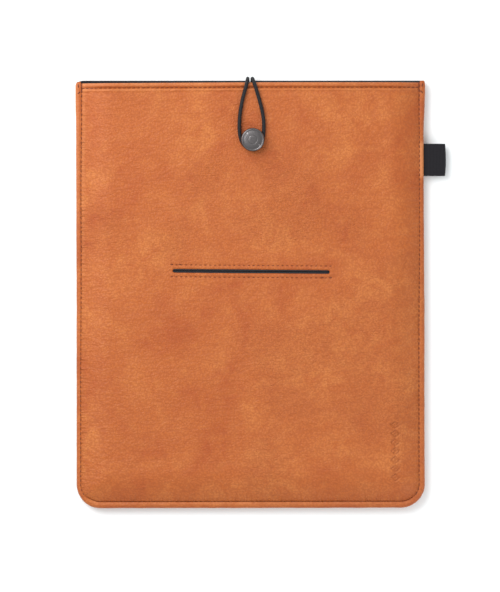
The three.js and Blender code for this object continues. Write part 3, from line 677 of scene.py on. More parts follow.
def cloth_finish(name, colour, pitch, use_uv=False, shine=0.3, rough=0.72):
    """Close plain weave, its threads crossing over and under."""
    n = Nodes(name)
    place = n.uv() if use_uv else n.place()
    split = n.add("SeparateXYZ", Vector=place)
    turns = 2 * math.pi / pitch
    wave_x = n.math("SINE", n.math("MULTIPLY", split.outputs["X"], turns))
    wave_y = n.math("SINE", n.math("MULTIPLY", split.outputs["Y"], turns))
    weave = n.math("MULTIPLY", wave_x, wave_y)
    slub = n.noise(n.mapped(place, (1, 14, 1)), 260, 2.0, 0.5)
    weave = n.math("ADD", n.span(weave, -1.0, 1.0), n.math("MULTIPLY", slub, 0.5))
    dust = n.noise(place, 900, 2.0, 0.6)
    cast = n.noise(place, 45, 2.0, 0.5)
    tone = n.mix(n.span(weave, 0.1, 1.2), scaled(colour, 0.55), scaled(colour, 1.7))
    tone = n.mix(n.span(cast, 0.4, 0.7, 0.0, 0.35), tone, scaled(colour, 2.0))
    tone = n.mix(n.span(dust, 0.66, 0.8, 0.0, 0.25), tone, scaled(colour, 4.0))
    return n.shade(Base_Color=tone, Roughness=n.span(weave, 0.0, 1.4, rough + 0.12, rough - 0.1),
                   Normal=n.bump(weave, pitch * 0.28, 0.8), Specular_IOR_Level=shine,
                   Sheen_Weight=0.12, Sheen_Roughness=0.4)


def thread_finish(name, colour):
    """Twisted thread: fine slanting plies with a soft shine."""
    n = Nodes(name)
    place = n.place()
    ply = n.noise(n.mapped(place, (1, 1, 1), (0.4, 0.3, 0.8)), 2600, 2.0, 0.5)
    tone = n.mix(n.span(ply, 0.3, 0.7), scaled(colour, 0.65), scaled(colour, 1.45))
    tint = n.noise(place, 160, 1.0)
    tone = n.mix(n.span(tint, 0.4, 0.7, 0.0, 0.4), tone, scaled(colour, 1.7))
    return n.shade(Base_Color=tone, Roughness=n.span(ply, 0.2, 0.8, 0.7, 0.5),
                   Normal=n.bump(ply, 0.00012, 0.7), Specular_IOR_Level=0.3)


def ribbed_finish(name, colour, rib, rough=0.8, shine=0.25, sheen=0.15):
    """Ribbed ribbon: cross ribs with close warp threads, in the surface's own map."""
    n = Nodes(name)
    split = n.add("SeparateXYZ", Vector=n.uv())
    ribs = n.math("SINE", n.math("MULTIPLY", split.outputs["X"], 2 * math.pi / rib))
    warp = n.math("SINE", n.math("MULTIPLY", split.outputs["Y"], 2 * math.pi / (rib * 0.42)))
    weave = n.math("ADD", n.math("MULTIPLY", ribs, 0.6), n.math("MULTIPLY", warp, 0.35))
    fuzz = n.noise(n.place(), 1500, 3.0, 0.6)
    height = n.math("ADD", n.span(weave, -1.0, 1.0), n.math("MULTIPLY", fuzz, 0.6))
    tone = n.mix(n.span(height, 0.2, 1.3), scaled(colour, 0.6), scaled(colour, 1.8))
    return n.shade(Base_Color=tone, Roughness=n.span(height, 0.2, 1.3, rough + 0.12, rough - 0.08),
                   Normal=n.bump(height, 0.00012, 0.75), Specular_IOR_Level=shine,
                   Sheen_Weight=sheen, Sheen_Roughness=0.5)


def metal_finish(centre):
    """Antiqued nickel: brushed, dark in its recesses and rubbed bright on its edges."""
    n = Nodes("antique nickel")
    place = n.place()
    moved = n.add("VectorMath", operation="SUBTRACT", I0=place, I1=tuple(c * MM for c in (*centre, 0.0)))
    brush = n.noise(n.mapped(moved.outputs[0], (1, 26, 1), (0, 0, math.radians(-60))), 240, 3.0, 0.6)
    blotch = n.noise(place, 380, 3.0, 0.55, 0.5)
    geometry = n.add("NewGeometry")
    wear_and_painted_light = n.span(geometry.outputs["Pointiness"], 0.47, 0.56)
    tone = n.mix(n.span(blotch, 0.35, 0.65), (0.024, 0.022, 0.023), (0.058, 0.053, 0.055))
    tone = n.mix(n.span(brush, 0.3, 0.7, 0.0, 0.5), tone, (0.078, 0.072, 0.074))
    tone = n.mix(n.math("MULTIPLY", wear_and_painted_light, 0.6), tone, (0.36, 0.34, 0.34))
    rough = n.span(n.math("ADD", blotch, brush), 0.7, 1.3, 0.46, 0.3)
    return n.shade(Base_Color=tone, Metallic=1.0, Roughness=rough, Normal=n.bump(brush, 0.00004, 0.5))


def foam_finish():
    """Closed-cell foam."""
    n = Nodes("foam")
    place = n.place()
    cells = n.add("TexVoronoi", feature="F1", Vector=place, Scale=1400)
    tone = n.mix(n.span(cells.outputs["Distance"], 0.1, 0.6), (0.62, 0.61, 0.57), (0.36, 0.35, 0.32))
    tone = n.mix(n.span(n.noise(place, 60), 0.4, 0.65, 0.0, 0.4), tone, (0.55, 0.52, 0.45))
    return n.shade(Base_Color=tone, Roughness=0.9, Normal=n.bump(cells.outputs["Distance"], 0.0002, 0.8),
                   Specular_IOR_Level=0.2)


def board_finish():
    """Pressed fibre board of the patch behind the button."""
    n = Nodes("fibre board")
    place = n.place()
    fibres = n.noise(n.mapped(place, (1, 5, 1), (0, 0, 0.4)), 700, 4.0, 0.65)
    tone = n.mix(n.span(fibres, 0.3, 0.7), (0.022, 0.02, 0.018), (0.075, 0.066, 0.058))
    return n.shade(Base_Color=tone, Roughness=n.span(fibres, 0.3, 0.7, 0.95, 0.75),
                   Normal=n.bump(fibres, 0.0002, 0.6))


FINISHES = {}


def finish(name):
    """The material of that name, made once."""
    if name not in FINISHES:
        colours = bpy.context.scene.sleeve_colours
        makers = {
            "leather": lambda: leather_finish(colours),
            "cloth": lambda: cloth_finish("black lining", tuple(colours.cloth), 0.0011),
            "facing": lambda: cloth_finish("black facing", tuple(colours.cloth), 0.0008,
                                           shine=0.4, rough=0.62),
            "thread": lambda: thread_finish("tan thread", tuple(colours.thread)),
            "black thread": lambda: thread_finish("black thread", tuple(colours.cloth)),
            "webbing": lambda: ribbed_finish("black webbing", tuple(colours.webbing), 0.0009),
            "elastic": lambda: ribbed_finish("black elastic", tuple(colours.elastic), 0.0005,
                                             rough=0.5, shine=0.3, sheen=0.04),
            "metal": lambda: metal_finish((BUTTON_X, BUTTON_Y)),
            "foam": foam_finish,
            "board": board_finish,
        }
        FINISHES[name] = makers[name]()
    return FINISHES[name]


def dress(piece, look, body, slot, *nodes):
    """Gives a piece its material, its body and the nodes it replaces. Its slot is not used.

    A piece that bends between two bodies has None for its body.
    """
    piece.data.materials.clear()
    piece.data.materials.append(finish(look))
    if body:
        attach(piece, body)
    if nodes:
        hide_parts(*nodes)


# ---------------------------------------------------------------- leather panels

class SLEEVE_OT_front_panel(bpy.types.Operator):
    """Front leather, with its slit, turned mouth edge and pressed ornament"""

    bl_idname = "sleeve.front_panel"
    bl_label = "Front panel"

    def execute(self, context):
        sizes = context.scene.sleeve_sizes
        ends = SLIT_LENGTH / 2 - SLIT_HEIGHT / 2
        xs = side_stations(SHELL_INSET, 1.35, [
            (SLIT_CENTRE[0] - ends - 0.4, 1.2, 0.24), (SLIT_CENTRE[0] + ends + 0.4, 1.2, 0.24),
            (ORNAMENT_X, 3.6, 0.45),
        ])
        flat_y = stations([(BOTTOM_Y + SHELL_INSET, 0.8), (BOTTOM_Y + 3.2, 0.35), (BOTTOM_Y + 5.6, 0.6),
                           (BOTTOM_Y + 9, 0.9), (BOTTOM_Y + 15, 1.35), (MOUTH_Y - 10, 0.8),
                           (MOUTH_Y - 6, 0.33), (MOUTH_Y - MOUTH_CURL, 1)])
        ys = thicken(flat_y, [(ORNAMENT_Y, 19.2, 0.5)])
        ys = ys[np.abs(ys - SLIT_CENTRE[1]) > 5.4]
        near = np.array([0.0, 0.28, 0.55, 0.83, 1.1, 1.25, 1.45, 1.7, 2.0, 2.4, 2.8, 3.1, 3.4, 3.7,
                         4.0, 4.4, 5.0])
        ys = np.sort(np.concatenate([ys, SLIT_CENTRE[1] + near, SLIT_CENTRE[1] - near[1:]]))
        turns = np.linspace(0, math.radians(100), FOLD_TURNS)[1:]
        x, y = np.meshgrid(xs, ys)
        follow = 1 - smooth(np.abs(y - SLIT_CENTRE[1]), 8, 30)
        y = y + math.tan(SLIT_TILT) * (x - SLIT_CENTRE[0]) * follow
        px, py, edge = outline_plan(x, y, SHELL_INSET)
        gap = slit_distance(px, py)
        centre_gap = (gap[:-1, :-1] + gap[1:, :-1] + gap[:-1, 1:] + gap[1:, 1:]) / 4
        keep = centre_gap > 0
        px, py = self.snap_to_slit(px, py, keep)
        drawn = smooth(py, MOUTH_Y - 2.6, MOUTH_Y - MOUTH_CURL)
        side = HALF_WIDTH - np.abs(px)
        px = np.sign(px) * (HALF_WIDTH - side - drawn * np.clip(3.6 - side, 0, None) * 0.8)
        top = front_top_height(px, py, edge, sizes)
        thick = LEATHER * (0.8 + 0.2 * smooth(edge, 3, 8))
        upper = settled(px, py, top)
        lower = settled(px, py, top - thick)
        curl_top, curl_low = [], []
        for turn in turns:
            row_top, row_low = upper[-1].copy(), lower[-1].copy()
            for row, reach in ((row_top, MOUTH_CURL), (row_low, MOUTH_CURL - LEATHER)):
                row[:, 1] += reach * math.sin(turn)
                row[:, 2] = top[-1] - MOUTH_CURL + reach * math.cos(turn)
            curl_top.append(row_top)
            curl_low.append(row_low)
        upper = np.concatenate([upper, np.array(curl_top)])
        lower = np.concatenate([lower, np.array(curl_low)])
        keep = np.concatenate([keep, np.ones((len(turns), keep.shape[1]), dtype=bool)])
        columns, rows, distance = (np.concatenate([grid, np.repeat(grid[-1:], len(turns), axis=0)])
                                   for grid in (px, py, edge))
        marks = front_tone(columns, rows, distance)
        piece = two_sided("front_leather", upper, lower, keep, along_seam(columns, rows), marks)
        dress(piece, "leather", "root", "tan_leather", "front_shell")
        return {"FINISHED"}

    def snap_to_slit(self, x, y, keep):
        """Moves the points round the cut faces onto the slit's outline."""
        cut = ~keep
        touched = np.zeros(x.shape, dtype=bool)
        for dy in (0, 1):
            for dx in (0, 1):
                rows = slice(dy, dy + cut.shape[0])
                cols = slice(dx, dx + cut.shape[1])
                touched[rows, cols] |= cut
        along, across = slit_place(x, y)
        radius = SLIT_HEIGHT / 2
        spine = np.clip(along, -(SLIT_LENGTH / 2 - radius), SLIT_LENGTH / 2 - radius)
        dx, dy = along - spine, across
        far = np.maximum(np.hypot(dx, dy), 1e-6)
        new_x, new_y = from_slit(spine + dx / far * radius, dy / far * radius)
        return np.where(touched, new_x, x), np.where(touched, new_y, y)


class SLEEVE_OT_rear_panel(bpy.types.Operator):
    """Rear leather, which the sleeve lies on"""

    bl_idname = "sleeve.rear_panel"
    bl_label = "Rear panel"

    def execute(self, context):
        sizes = context.scene.sleeve_sizes
        xs = side_stations(SHELL_INSET, 2.6)
        end = REAR_EDGE_Y - 1.1
        ys = stations([(BOTTOM_Y + SHELL_INSET, 0.8), (BOTTOM_Y + 2.4, 0.7), (BOTTOM_Y + 4.5, 0.6),
                       (BOTTOM_Y + 9, 0.9), (BOTTOM_Y + 15, 2.6), (REAR_EDGE_Y - 10, 0.9),
                       (REAR_EDGE_Y - 6, 0.4), (end, 1)])
        x, y = np.meshgrid(xs, ys)
        px, py, edge = outline_plan(x, y, SHELL_INSET)
        low = rear_low_height(px, py, edge, sizes)
        upper = settled(px, py, low + LEATHER)
        lower = settled(px, py, low)
        piece = two_sided("rear_leather", upper, lower, uv=along_seam(px, py))
        dress(piece, "leather", "root", "tan_leather", "rear_shell")
        return {"FINISHED"}


# ---------------------------------------------------------------- binding

def seam_path(step, left_end, right_end):
    """Stations from the left mouth corner round to the right one: x, y and the way inward."""
    corner_y = BOTTOM_Y + CORNER_RADIUS
    left, right = (np.linspace(end, corner_y, math.ceil((end - corner_y) / step) + 1)
                   for end in (left_end, right_end))
    turns = np.linspace(0, math.pi / 2, math.ceil(CORNER_RADIUS * math.pi / 2 / step) + 1)[1:]
    base = np.linspace(-(HALF_WIDTH - CORNER_RADIUS), HALF_WIDTH - CORNER_RADIUS,
                       math.ceil(2 * (HALF_WIDTH - CORNER_RADIUS) / step) + 1)[1:]
    rows = [(-HALF_WIDTH, y, 1.0, 0.0) for y in left]
    for a in turns:
        rows.append((-(HALF_WIDTH - CORNER_RADIUS) - CORNER_RADIUS * math.cos(a),
                     corner_y - CORNER_RADIUS * math.sin(a), math.cos(a), math.sin(a)))
    rows += [(x, BOTTOM_Y, 0.0, 1.0) for x in base]
    for a in (math.pi / 2 - turns):
        rows.append((HALF_WIDTH - CORNER_RADIUS + CORNER_RADIUS * math.cos(a),
                     corner_y - CORNER_RADIUS * math.sin(a), -math.cos(a), math.sin(a)))
    rows += [(HALF_WIDTH, y, -1.0, 0.0) for y in right[::-1][1:]]
    return np.array(rows)


def seam_points(path, inward, height):
    """Points at that distance in from the sewn edge, and at that height."""
    x = path[:, 0] + path[:, 2] * inward
    y = path[:, 1] + path[:, 3] * inward
    return settled(x, y, height)


def binding_section(width):
    """Middle line of the folded strip: distance in from the edge, height from the seam's middle."""
    flat = SEAM_HALF - BIND_WALL / 2
    nose = [(0.42, 0.0), (0.47, 0.75), (0.66, 1.4), (1.05, 1.9), (1.6, 2.22), (2.1, flat + 0.05)]
    leg = [(2.1 + (width - 2.1) * t, flat + 0.05 - 0.28 * t ** 3) for t in (0.3, 0.6, 0.85, 1.0)]
    half = nose + leg
    return [(e, -z) for e, z in half[::-1]] + half[1:]


class SLEEVE_OT_edge_binding(bpy.types.Operator):
    """Leather strip folded round the left, bottom and right edges"""

    bl_idname = "sleeve.edge_binding"
    bl_label = "Edge binding"

    def execute(self, context):
        sizes = context.scene.sleeve_sizes
        path = seam_path(1.0, BINDING_HIGH[1] + 0.4, BINDING_HIGH[1] + 0.7)
        widths = band_width(path[:, 0] + path[:, 2] * 3, path[:, 1] + path[:, 3] * 3)
        run = np.concatenate([[0], np.cumsum(np.hypot(np.diff(path[:, 0]), np.diff(path[:, 1])))])
        sections = np.array([binding_section(width) for width in widths])
        along = np.gradient(sections, axis=1)
        along /= np.linalg.norm(along, axis=2, keepdims=True)
        normal = np.stack([-along[..., 1], along[..., 0]], axis=-1)
        ends = np.minimum(run, run[-1] - run)
        squeeze = 1 - 0.3 * (1 - smooth(ends, 0, 2.2))
        corner = np.clip(np.abs(path[:, 2] * path[:, 3]) * 2, 0, 1)
        slot = np.arange(sections.shape[1])
        gather = cloud(run[:, None] + slot * 0.12, slot[None] * 0.5, 1.9, sizes.seed + 71)
        gather = 0.1 * corner[:, None] * gather
        bulge = gather + 0.07 * cloud(run[:, None], slot[None] * 1.0, 6.5, sizes.seed + 73)
        leg_side = np.abs(sections[..., 0] - widths[:, None] + 0.5)
        bulge = bulge - 0.14 * np.exp(-(leg_side / 0.45) ** 2)
        grids = []
        for offset in (BIND_WALL / 2, -BIND_WALL / 2):
            reach = offset + (bulge if offset > 0 else 0)
            inward = sections[..., 0] + normal[..., 0] * reach
            pinch = 0.3 * (1 - smooth(ends, 0, 1.8))[:, None]
            inward = inward + (widths[:, None] / 2 - inward) * pinch
            height = SEAM_MID + (sections[..., 1] + normal[..., 1] * reach) * squeeze[:, None]
            x = path[:, None, 0] + path[:, None, 2] * inward
            y = path[:, None, 1] + path[:, None, 3] * inward
            slant = np.clip(inward / widths[:, None], 0, 1)
            y = y + (1.35 * slant - 0.8) * (1 - smooth(run, 0, 2.6))[:, None]
            marks = binding_tone(x, y, inward)
            grids.append(np.stack([lean(x, y), dip(x, y, FRONT_TOP), height], axis=-1))
        outer, inner = (grid[:, ::-1] for grid in grids)
        piece = two_sided("binding_leather", outer, inner, tone=marks[:, ::-1])
        dress(piece, "leather", "root", "tan_leather", "edge_binding")
        return {"FINISHED"}


# ---------------------------------------------------------------- linings and padding

class SLEEVE_OT_linings(bpy.types.Operator):
    """Cloth linings of both panels"""

    bl_idname = "sleeve.linings"
    bl_label = "Linings"

    def execute(self, context):
        sizes = context.scene.sleeve_sizes
        inset = 1.8
        xs = side_stations(inset, 4.5)
        for name, node, mouth_y, gap, height, curl in (
                ("front_lining_cloth", "front_lining", MOUTH_Y, 1.6, front_lining_low, 0.0),
                ("rear_lining_cloth", "rear_lining", REAR_EDGE_Y, 1.28, rear_lining_low, 1.1)):
            end = mouth_y - gap
            ys = stations([(BOTTOM_Y + inset, 0.9), (BOTTOM_Y + 4.5, 1.0), (BOTTOM_Y + 15, 4.5),
                           (mouth_y - 14, 1.2), (mouth_y - 5, 0.4), (end, 1)])
            if node == "rear_lining":
                xs = thicken(xs, [(0, 3.4, 0.2)])
            x, y = np.meshgrid(xs, ys)
            px, py, edge = outline_plan(x, y, inset)
            drawn = smooth(py, mouth_y - 3.3, end)
            side = HALF_WIDTH - np.abs(px)
            if not curl:
                px = np.sign(px) * (HALF_WIDTH - side - drawn * np.clip(5.2 - side, 0, None) * 0.8)
            low = height(px, py, edge, sizes)
            low = low + 0.07 * cloud(px, py, 17, sizes.seed + 81) * smooth(edge, 4, 14)
            upper = settled(px, py, low + LINING)
            lower = settled(px, py, low)
            keep = None
            if curl:
                tops, lows = [], []
                for turn in np.linspace(0, math.radians(105), 8)[1:]:
                    for grid, rows, half in ((upper, tops, LINING / 2), (lower, lows, -LINING / 2)):
                        row = grid[-1].copy()
                        row[:, 1] += (curl + half) * math.sin(turn)
                        row[:, 2] = low[-1] + LINING / 2 - curl + (curl + half) * math.cos(turn)
                        left = smooth(-row[:, 0], HALF_WIDTH - 8, HALF_WIDTH - 2)
                        row[:, 0] -= smooth(turn, 0.5, 1.3) * left
                        row[:, 1] -= 0.9 * smooth(-row[:, 0], HALF_WIDTH - 4.5, HALF_WIDTH - 0.5)
                        rows.append(row)
                upper = np.concatenate([upper, np.array(tops)])
                lower = np.concatenate([lower, np.array(lows)])
                middle = (upper[:-1, :-1] + upper[1:, 1:]) / 2
                beside_cord = np.abs(np.abs(middle[..., 0]) - CORD_APART / 2)
                keep = ~((beside_cord < LOOP_DIAMETER / 2 + 0.1)
                         & (middle[..., 1] > mouth_y - 3.6))
            piece = two_sided(name, upper, lower, keep)
            dress(piece, "cloth", "root", "black_lining", node)
        return {"FINISHED"}


class SLEEVE_OT_padding(bpy.types.Operator):
    """Foam of both panels, skived thin towards the mouth"""

    bl_idname = "sleeve.padding"
    bl_label = "Padding"

    def execute(self, context):
        sizes = context.scene.sleeve_sizes
        inset = 7.0
        pocket_low, pocket_high = box_mm("pocket_rear_ply")
        patch_low = box_mm("button_tack")[0]
        xs = side_stations(inset, 4.0, [(pocket_low[0] - 1, 1, 0.7), (pocket_high[0] + 1, 1, 0.7),
                                        (BUTTON_X, 9, 1.2)])
        for name, node, mouth_y, gap in (("front_foam", "front_padding", MOUTH_Y, 6.0),
                                         ("rear_foam", "rear_padding", REAR_EDGE_Y, 9.0)):
            end = mouth_y - gap
            ys = stations([(BOTTOM_Y + inset, 0.9), (BOTTOM_Y + 15, 4.0), (mouth_y - 16, 1.2),
                           (end, 1)])
            ys = thicken(ys, [(pocket_low[1] - 1, 1, 0.7), (pocket_high[1] + 1, 1, 0.7),
                              (BUTTON_Y, 9, 1.2)])
            x, y = np.meshgrid(xs, ys)
            px, py, edge = outline_plan(x, y, inset)
            if node == "front_padding":
                low = front_lining_low(px, py, edge, sizes) + LINING + 0.3
                high = front_top_height(px, py, edge, sizes) - LEATHER - 0.35
                beside = np.maximum(np.maximum(pocket_low[0] - px, px - pocket_high[0]),
                                    np.maximum(pocket_low[1] - py, py - pocket_high[1]))
                bed = smooth(beside, 0.6, 2.2)
                high = np.minimum(high, pocket_low[2] - 0.3 + (high - pocket_low[2] + 0.3) * bed)
                clear = smooth(np.hypot(px - BUTTON_X, py - BUTTON_Y), 8.2, 9.4)
                high = np.minimum(high, patch_low[2] - 0.3 + (high - patch_low[2] + 0.3) * clear)
            else:
                low = rear_low_height(px, py, edge, sizes) + LEATHER + 0.25
                high = rear_lining_low(px, py, edge, sizes) - 0.3
            middle = (low + high) / 2
            thin = 0.25 + 0.75 * smooth(np.minimum(edge - inset, end - py), 0, 1.6)
            half = np.maximum((high - low) / 2, 0.1) * thin
            upper = settled(px, py, middle + half)
            lower = settled(px, py, middle - half)
            piece = two_sided(name, upper, lower)
            dress(piece, "foam", "root", "foam", node)
        return {"FINISHED"}


# ---------------------------------------------------------------- slip pocket

# Section of a lip: distance from the slit's middle and height, from its sewn edge to its fold
LIP_FOLD = [(6.0, 0.0), (4.4, 0.0), (3.2, 0.05), (2.2, 0.12), (1.5, 0.3), (0.95, 0.48), (0.5, 0.5),
            (0.2, 0.3), (0.14, 0.08)]
LIP_CLOTH = 0.22


class SLEEVE_OT_slip_pocket(bpy.types.Operator):
    """Black facing lips in the slit, and the flat cloth pocket behind it"""

    bl_idname = "sleeve.slip_pocket"
    bl_label = "Slip pocket"

    def execute(self, context):
        low, high = box_mm("slit_facing")
        half_length = (high[0] - low[0]) / 2 - 0.6
        lips = [self.lip(side, half_length, low[2], context) for side in (1, -1)]
        piece = lips[0]
        with context.temp_override(active_object=piece, selected_objects=lips,
                                   selected_editable_objects=lips):
            bpy.ops.object.join()
        piece.name = "slit_lips"
        dress(piece, "facing", "root", "black_lining", "slit_facing")
        for name, node in (("pocket_front_cloth", "pocket_front_ply"),
                           ("pocket_rear_cloth", "pocket_rear_ply")):
            self.ply(name, node, context)
        return {"FINISHED"}

    def lip(self, side, half_length, base, context):
        """One lip of the slit: 1 is the upper one and -1 the lower one."""
        along = stations([(-half_length, 1.2), (half_length, 1)])
        across, lift = np.array(LIP_FOLD).T
        a, c = np.meshgrid(along, across)
        z = base + np.repeat(lift[:, None], len(along), axis=1)
        z = z + 0.05 * cloud(a, c * 3, 5.0, context.scene.sleeve_sizes.seed + 91 + side)
        z = z - 0.35 * smooth(np.abs(a), SLIT_LENGTH / 2 - 3, SLIT_LENGTH / 2)
        x, y = from_slit(a, side * c)
        top = np.stack([x, y, z + LIP_CLOTH], axis=-1)
        bottom = np.stack([x, y, z], axis=-1)
        if side > 0:
            top, bottom = top[::-1], bottom[::-1]
        return two_sided("lip", top, bottom)

    def ply(self, name, node, context):
        """One cloth of the pocket. The front one is cut open behind the slit."""
        low, high = box_mm(node)
        xs = np.linspace(low[0], high[0], 50)
        ys = np.linspace(low[1], high[1], 48)
        opening = 0.7
        opened = node == "pocket_front_ply"
        if opened:
            ys = np.sort(np.concatenate([ys, SLIT_CENTRE[1] + np.array([-opening, opening])]))
        x, y = np.meshgrid(xs, ys)
        rest = low[2] + 0.03 * cloud(x, y, 12, context.scene.sleeve_sizes.seed + 95)
        keep = None
        if opened:
            mid_x = (x[:-1, :-1] + x[1:, 1:]) / 2
            mid_y = (y[:-1, :-1] + y[1:, 1:]) / 2
            keep = ~((np.abs(mid_y - SLIT_CENTRE[1]) < opening)
                     & (np.abs(mid_x - SLIT_CENTRE[0]) < SLIT_LENGTH / 2 - 1))
        thick = high[2] - low[2]
        piece = two_sided(name, np.stack([x, y, rest + thick], axis=-1),
                          np.stack([x, y, rest], axis=-1), keep)
        dress(piece, "cloth", "root", "black_lining", node)


# ---------------------------------------------------------------- button

class SLEEVE_OT_button(bpy.types.Operator):
    """Antiqued metal button: cap, collar, nail and the patch behind the leather"""

    bl_idname = "sleeve.button"
    bl_label = "Button"

    def execute(self, context):
        centre = (BUTTON_X, BUTTON_Y)
        low, top = CAP_LOW[2], CAP_HIGH[2]
        r = CAP_RADIUS
        corners = [(0.0, low + 1.4), (3.5, low + 1.4), (3.5, low + 0.1), (3.9, low),
                   (r - 1.1, low + 0.05), (r - 0.25, low + 0.45), (r, low + 1.0), (r, low + 1.7),
                   (r - 0.3, low + 2.35), (r - 0.75, low + 2.62), (r - 1.0, low + 2.6),
                   (r - 1.25, low + 2.42), (r - 1.6, low + 2.42), (4.4, low + 2.62),
                   (3.0, low + 2.72), (2.86, low + 2.66), (2.6, low + 2.66), (2.46, low + 2.74),
                   (1.2, top), (0.0, top)]
        cap = turned("cap_metal", round_profile(corners, 0.22), centre, 128)
        dress(cap, "metal", "button", "antique_nickel", "button_cap")
        bore_low, bore_high = box_mm("button_shank")
        foot, head = bore_low[2], bore_high[2]
        wall = [(1.3, foot), (2.9, foot), (3.2, foot + 0.15), (3.2, foot + 0.4), (2.7, foot + 0.65),
                (2.3, foot + 1.1), (2.3, head - 1.2), (2.7, head - 0.75), (3.2, head - 0.55),
                (3.2, head - 0.1), (3.0, head), (1.3, head), (1.3, foot)]
        collar = turned("collar_metal", round_profile(wall, 0.15), centre, 64)
        dress(collar, "metal", "button", "antique_nickel", "button_shank")
        tack_low, tack_high = box_mm("button_tack")
        base, tip = tack_low[2], tack_high[2]
        reach = (tack_high[0] - tack_low[0]) / 2
        nail = [(0.0, base), (reach - 0.4, base), (reach, base + 0.3), (reach, base + 0.6),
                (reach - 0.2, base + 0.7), (1.0, base + 0.7), (1.0, tip - 0.4), (0.6, tip),
                (0.0, tip)]
        tack = turned("nail_metal", round_profile(nail, 0.12), centre, 64)
        dress(tack, "metal", "root", "antique_nickel", "button_tack")
        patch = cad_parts["button_patch"].data
        patch.materials.clear()
        patch.materials.append(finish("board"))
        return {"FINISHED"}


# ---------------------------------------------------------------- elastic loop

def spline(points, spacing):
    """Evenly spaced points on a smooth curve through the given ones, and the curve's length."""
    points = np.asarray(points, dtype=float)
    points = np.concatenate([[2 * points[0] - points[1]], points, [2 * points[-1] - points[-2]]])
    fine = []
    for p0, p1, p2, p3 in zip(points[:-3], points[1:-2], points[2:-1], points[3:]):
        t0 = 0.0
        t1 = t0 + np.linalg.norm(p1 - p0) ** 0.5
        t2 = t1 + np.linalg.norm(p2 - p1) ** 0.5
        t3 = t2 + np.linalg.norm(p3 - p2) ** 0.5
        for t in np.linspace(t1, t2, 24, endpoint=False):
            a1 = (t1 - t) / (t1 - t0) * p0 + (t - t0) / (t1 - t0) * p1
            a2 = (t2 - t) / (t2 - t1) * p1 + (t - t1) / (t2 - t1) * p2
            a3 = (t3 - t) / (t3 - t2) * p2 + (t - t2) / (t3 - t2) * p3
            b1 = (t2 - t) / (t2 - t0) * a1 + (t - t0) / (t2 - t0) * a2
            b2 = (t3 - t) / (t3 - t1) * a2 + (t - t1) / (t3 - t1) * a3
            fine.append((t2 - t) / (t2 - t1) * b1 + (t - t1) / (t2 - t1) * b2)
    fine.append(points[-2])
    fine = np.array(fine)
    run = np.concatenate([[0], np.cumsum(np.linalg.norm(np.diff(fine, axis=0), axis=1))])
    at = np.linspace(0, run[-1], max(2, round(run[-1] / spacing) + 1))
    return np.stack([np.interp(at, run, fine[:, k]) for k in range(3)], axis=-1), run[-1]


def carried_frames(path):
    """Two unit vectors across the path at each point, carried along it without twist."""
    tangent = np.gradient(path, axis=0)
    tangent /= np.linalg.norm(tangent, axis=1, keepdims=True)
    side = np.cross(tangent[0], (0.0, 0.0, 1.0))
    side /= np.linalg.norm(side)
    sides = [side]
    for before, here in zip(tangent[:-1], tangent[1:]):
        axis = np.cross(before, here)
        sine = np.linalg.norm(axis)
        if sine > 1e-9:
            axis = axis / sine
            angle = math.atan2(sine, float(before @ here))
            side = (side * math.cos(angle) + np.cross(axis, side) * math.sin(angle)
                    + axis * (axis @ side) * (1 - math.cos(angle)))
        sides.append(side)
    sides = np.array(sides)
    return sides, np.cross(tangent, sides)


class SLEEVE_OT_elastic_loop(bpy.types.Operator):
    """Round braided elastic, from the rear hem over the mouth and round the button's collar"""

    bl_idname = "sleeve.elastic_loop"
    bl_label = "Elastic loop"

    def execute(self, context):
        route = np.array(LOOP_ROUTE) / MM
        path, length = spline(route, 0.16)
        sides_count = 32
        side, other = carried_frames(path)
        angle = np.linspace(0, 2 * math.pi, sides_count, endpoint=False)
        run = np.linspace(0, length, len(path))
        strands, lay = 6, 2 * math.pi / 3.0
        right = np.cos(strands * angle[None] + lay * run[:, None])
        left = np.cos(strands * angle[None] - lay * run[:, None])
        radius = LOOP_DIAMETER / 2 - 0.03 + 0.03 * np.maximum(right, left)
        radius[[0, -1]] *= 0.9
        ring = (side[:, None] * np.cos(angle)[None, :, None]
                + other[:, None] * np.sin(angle)[None, :, None])
        points = (path[:, None] + ring * radius[..., None]).reshape(-1, 3)
        n = len(path)
        index = np.arange(n * sides_count).reshape(n, sides_count)
        after = np.roll(index, -1, axis=1)
        quads = np.stack([index[:-1], after[:-1], after[1:], index[1:]], axis=-1).reshape(-1, 4)
        faces = quads.tolist() + [index[0][::-1].tolist(), index[-1].tolist()]
        uv = np.stack(np.broadcast_arrays(run[:, None], angle[None] * LOOP_DIAMETER / 2), axis=-1)
        uv = uv.reshape(-1, 2) * MM
        piece = mesh_object("elastic_cord", points, faces, uv)
        dress(piece, "elastic", None, "black_elastic", "elastic_loop")
        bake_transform(piece)
        return {"FINISHED"}


# ---------------------------------------------------------------- side tab

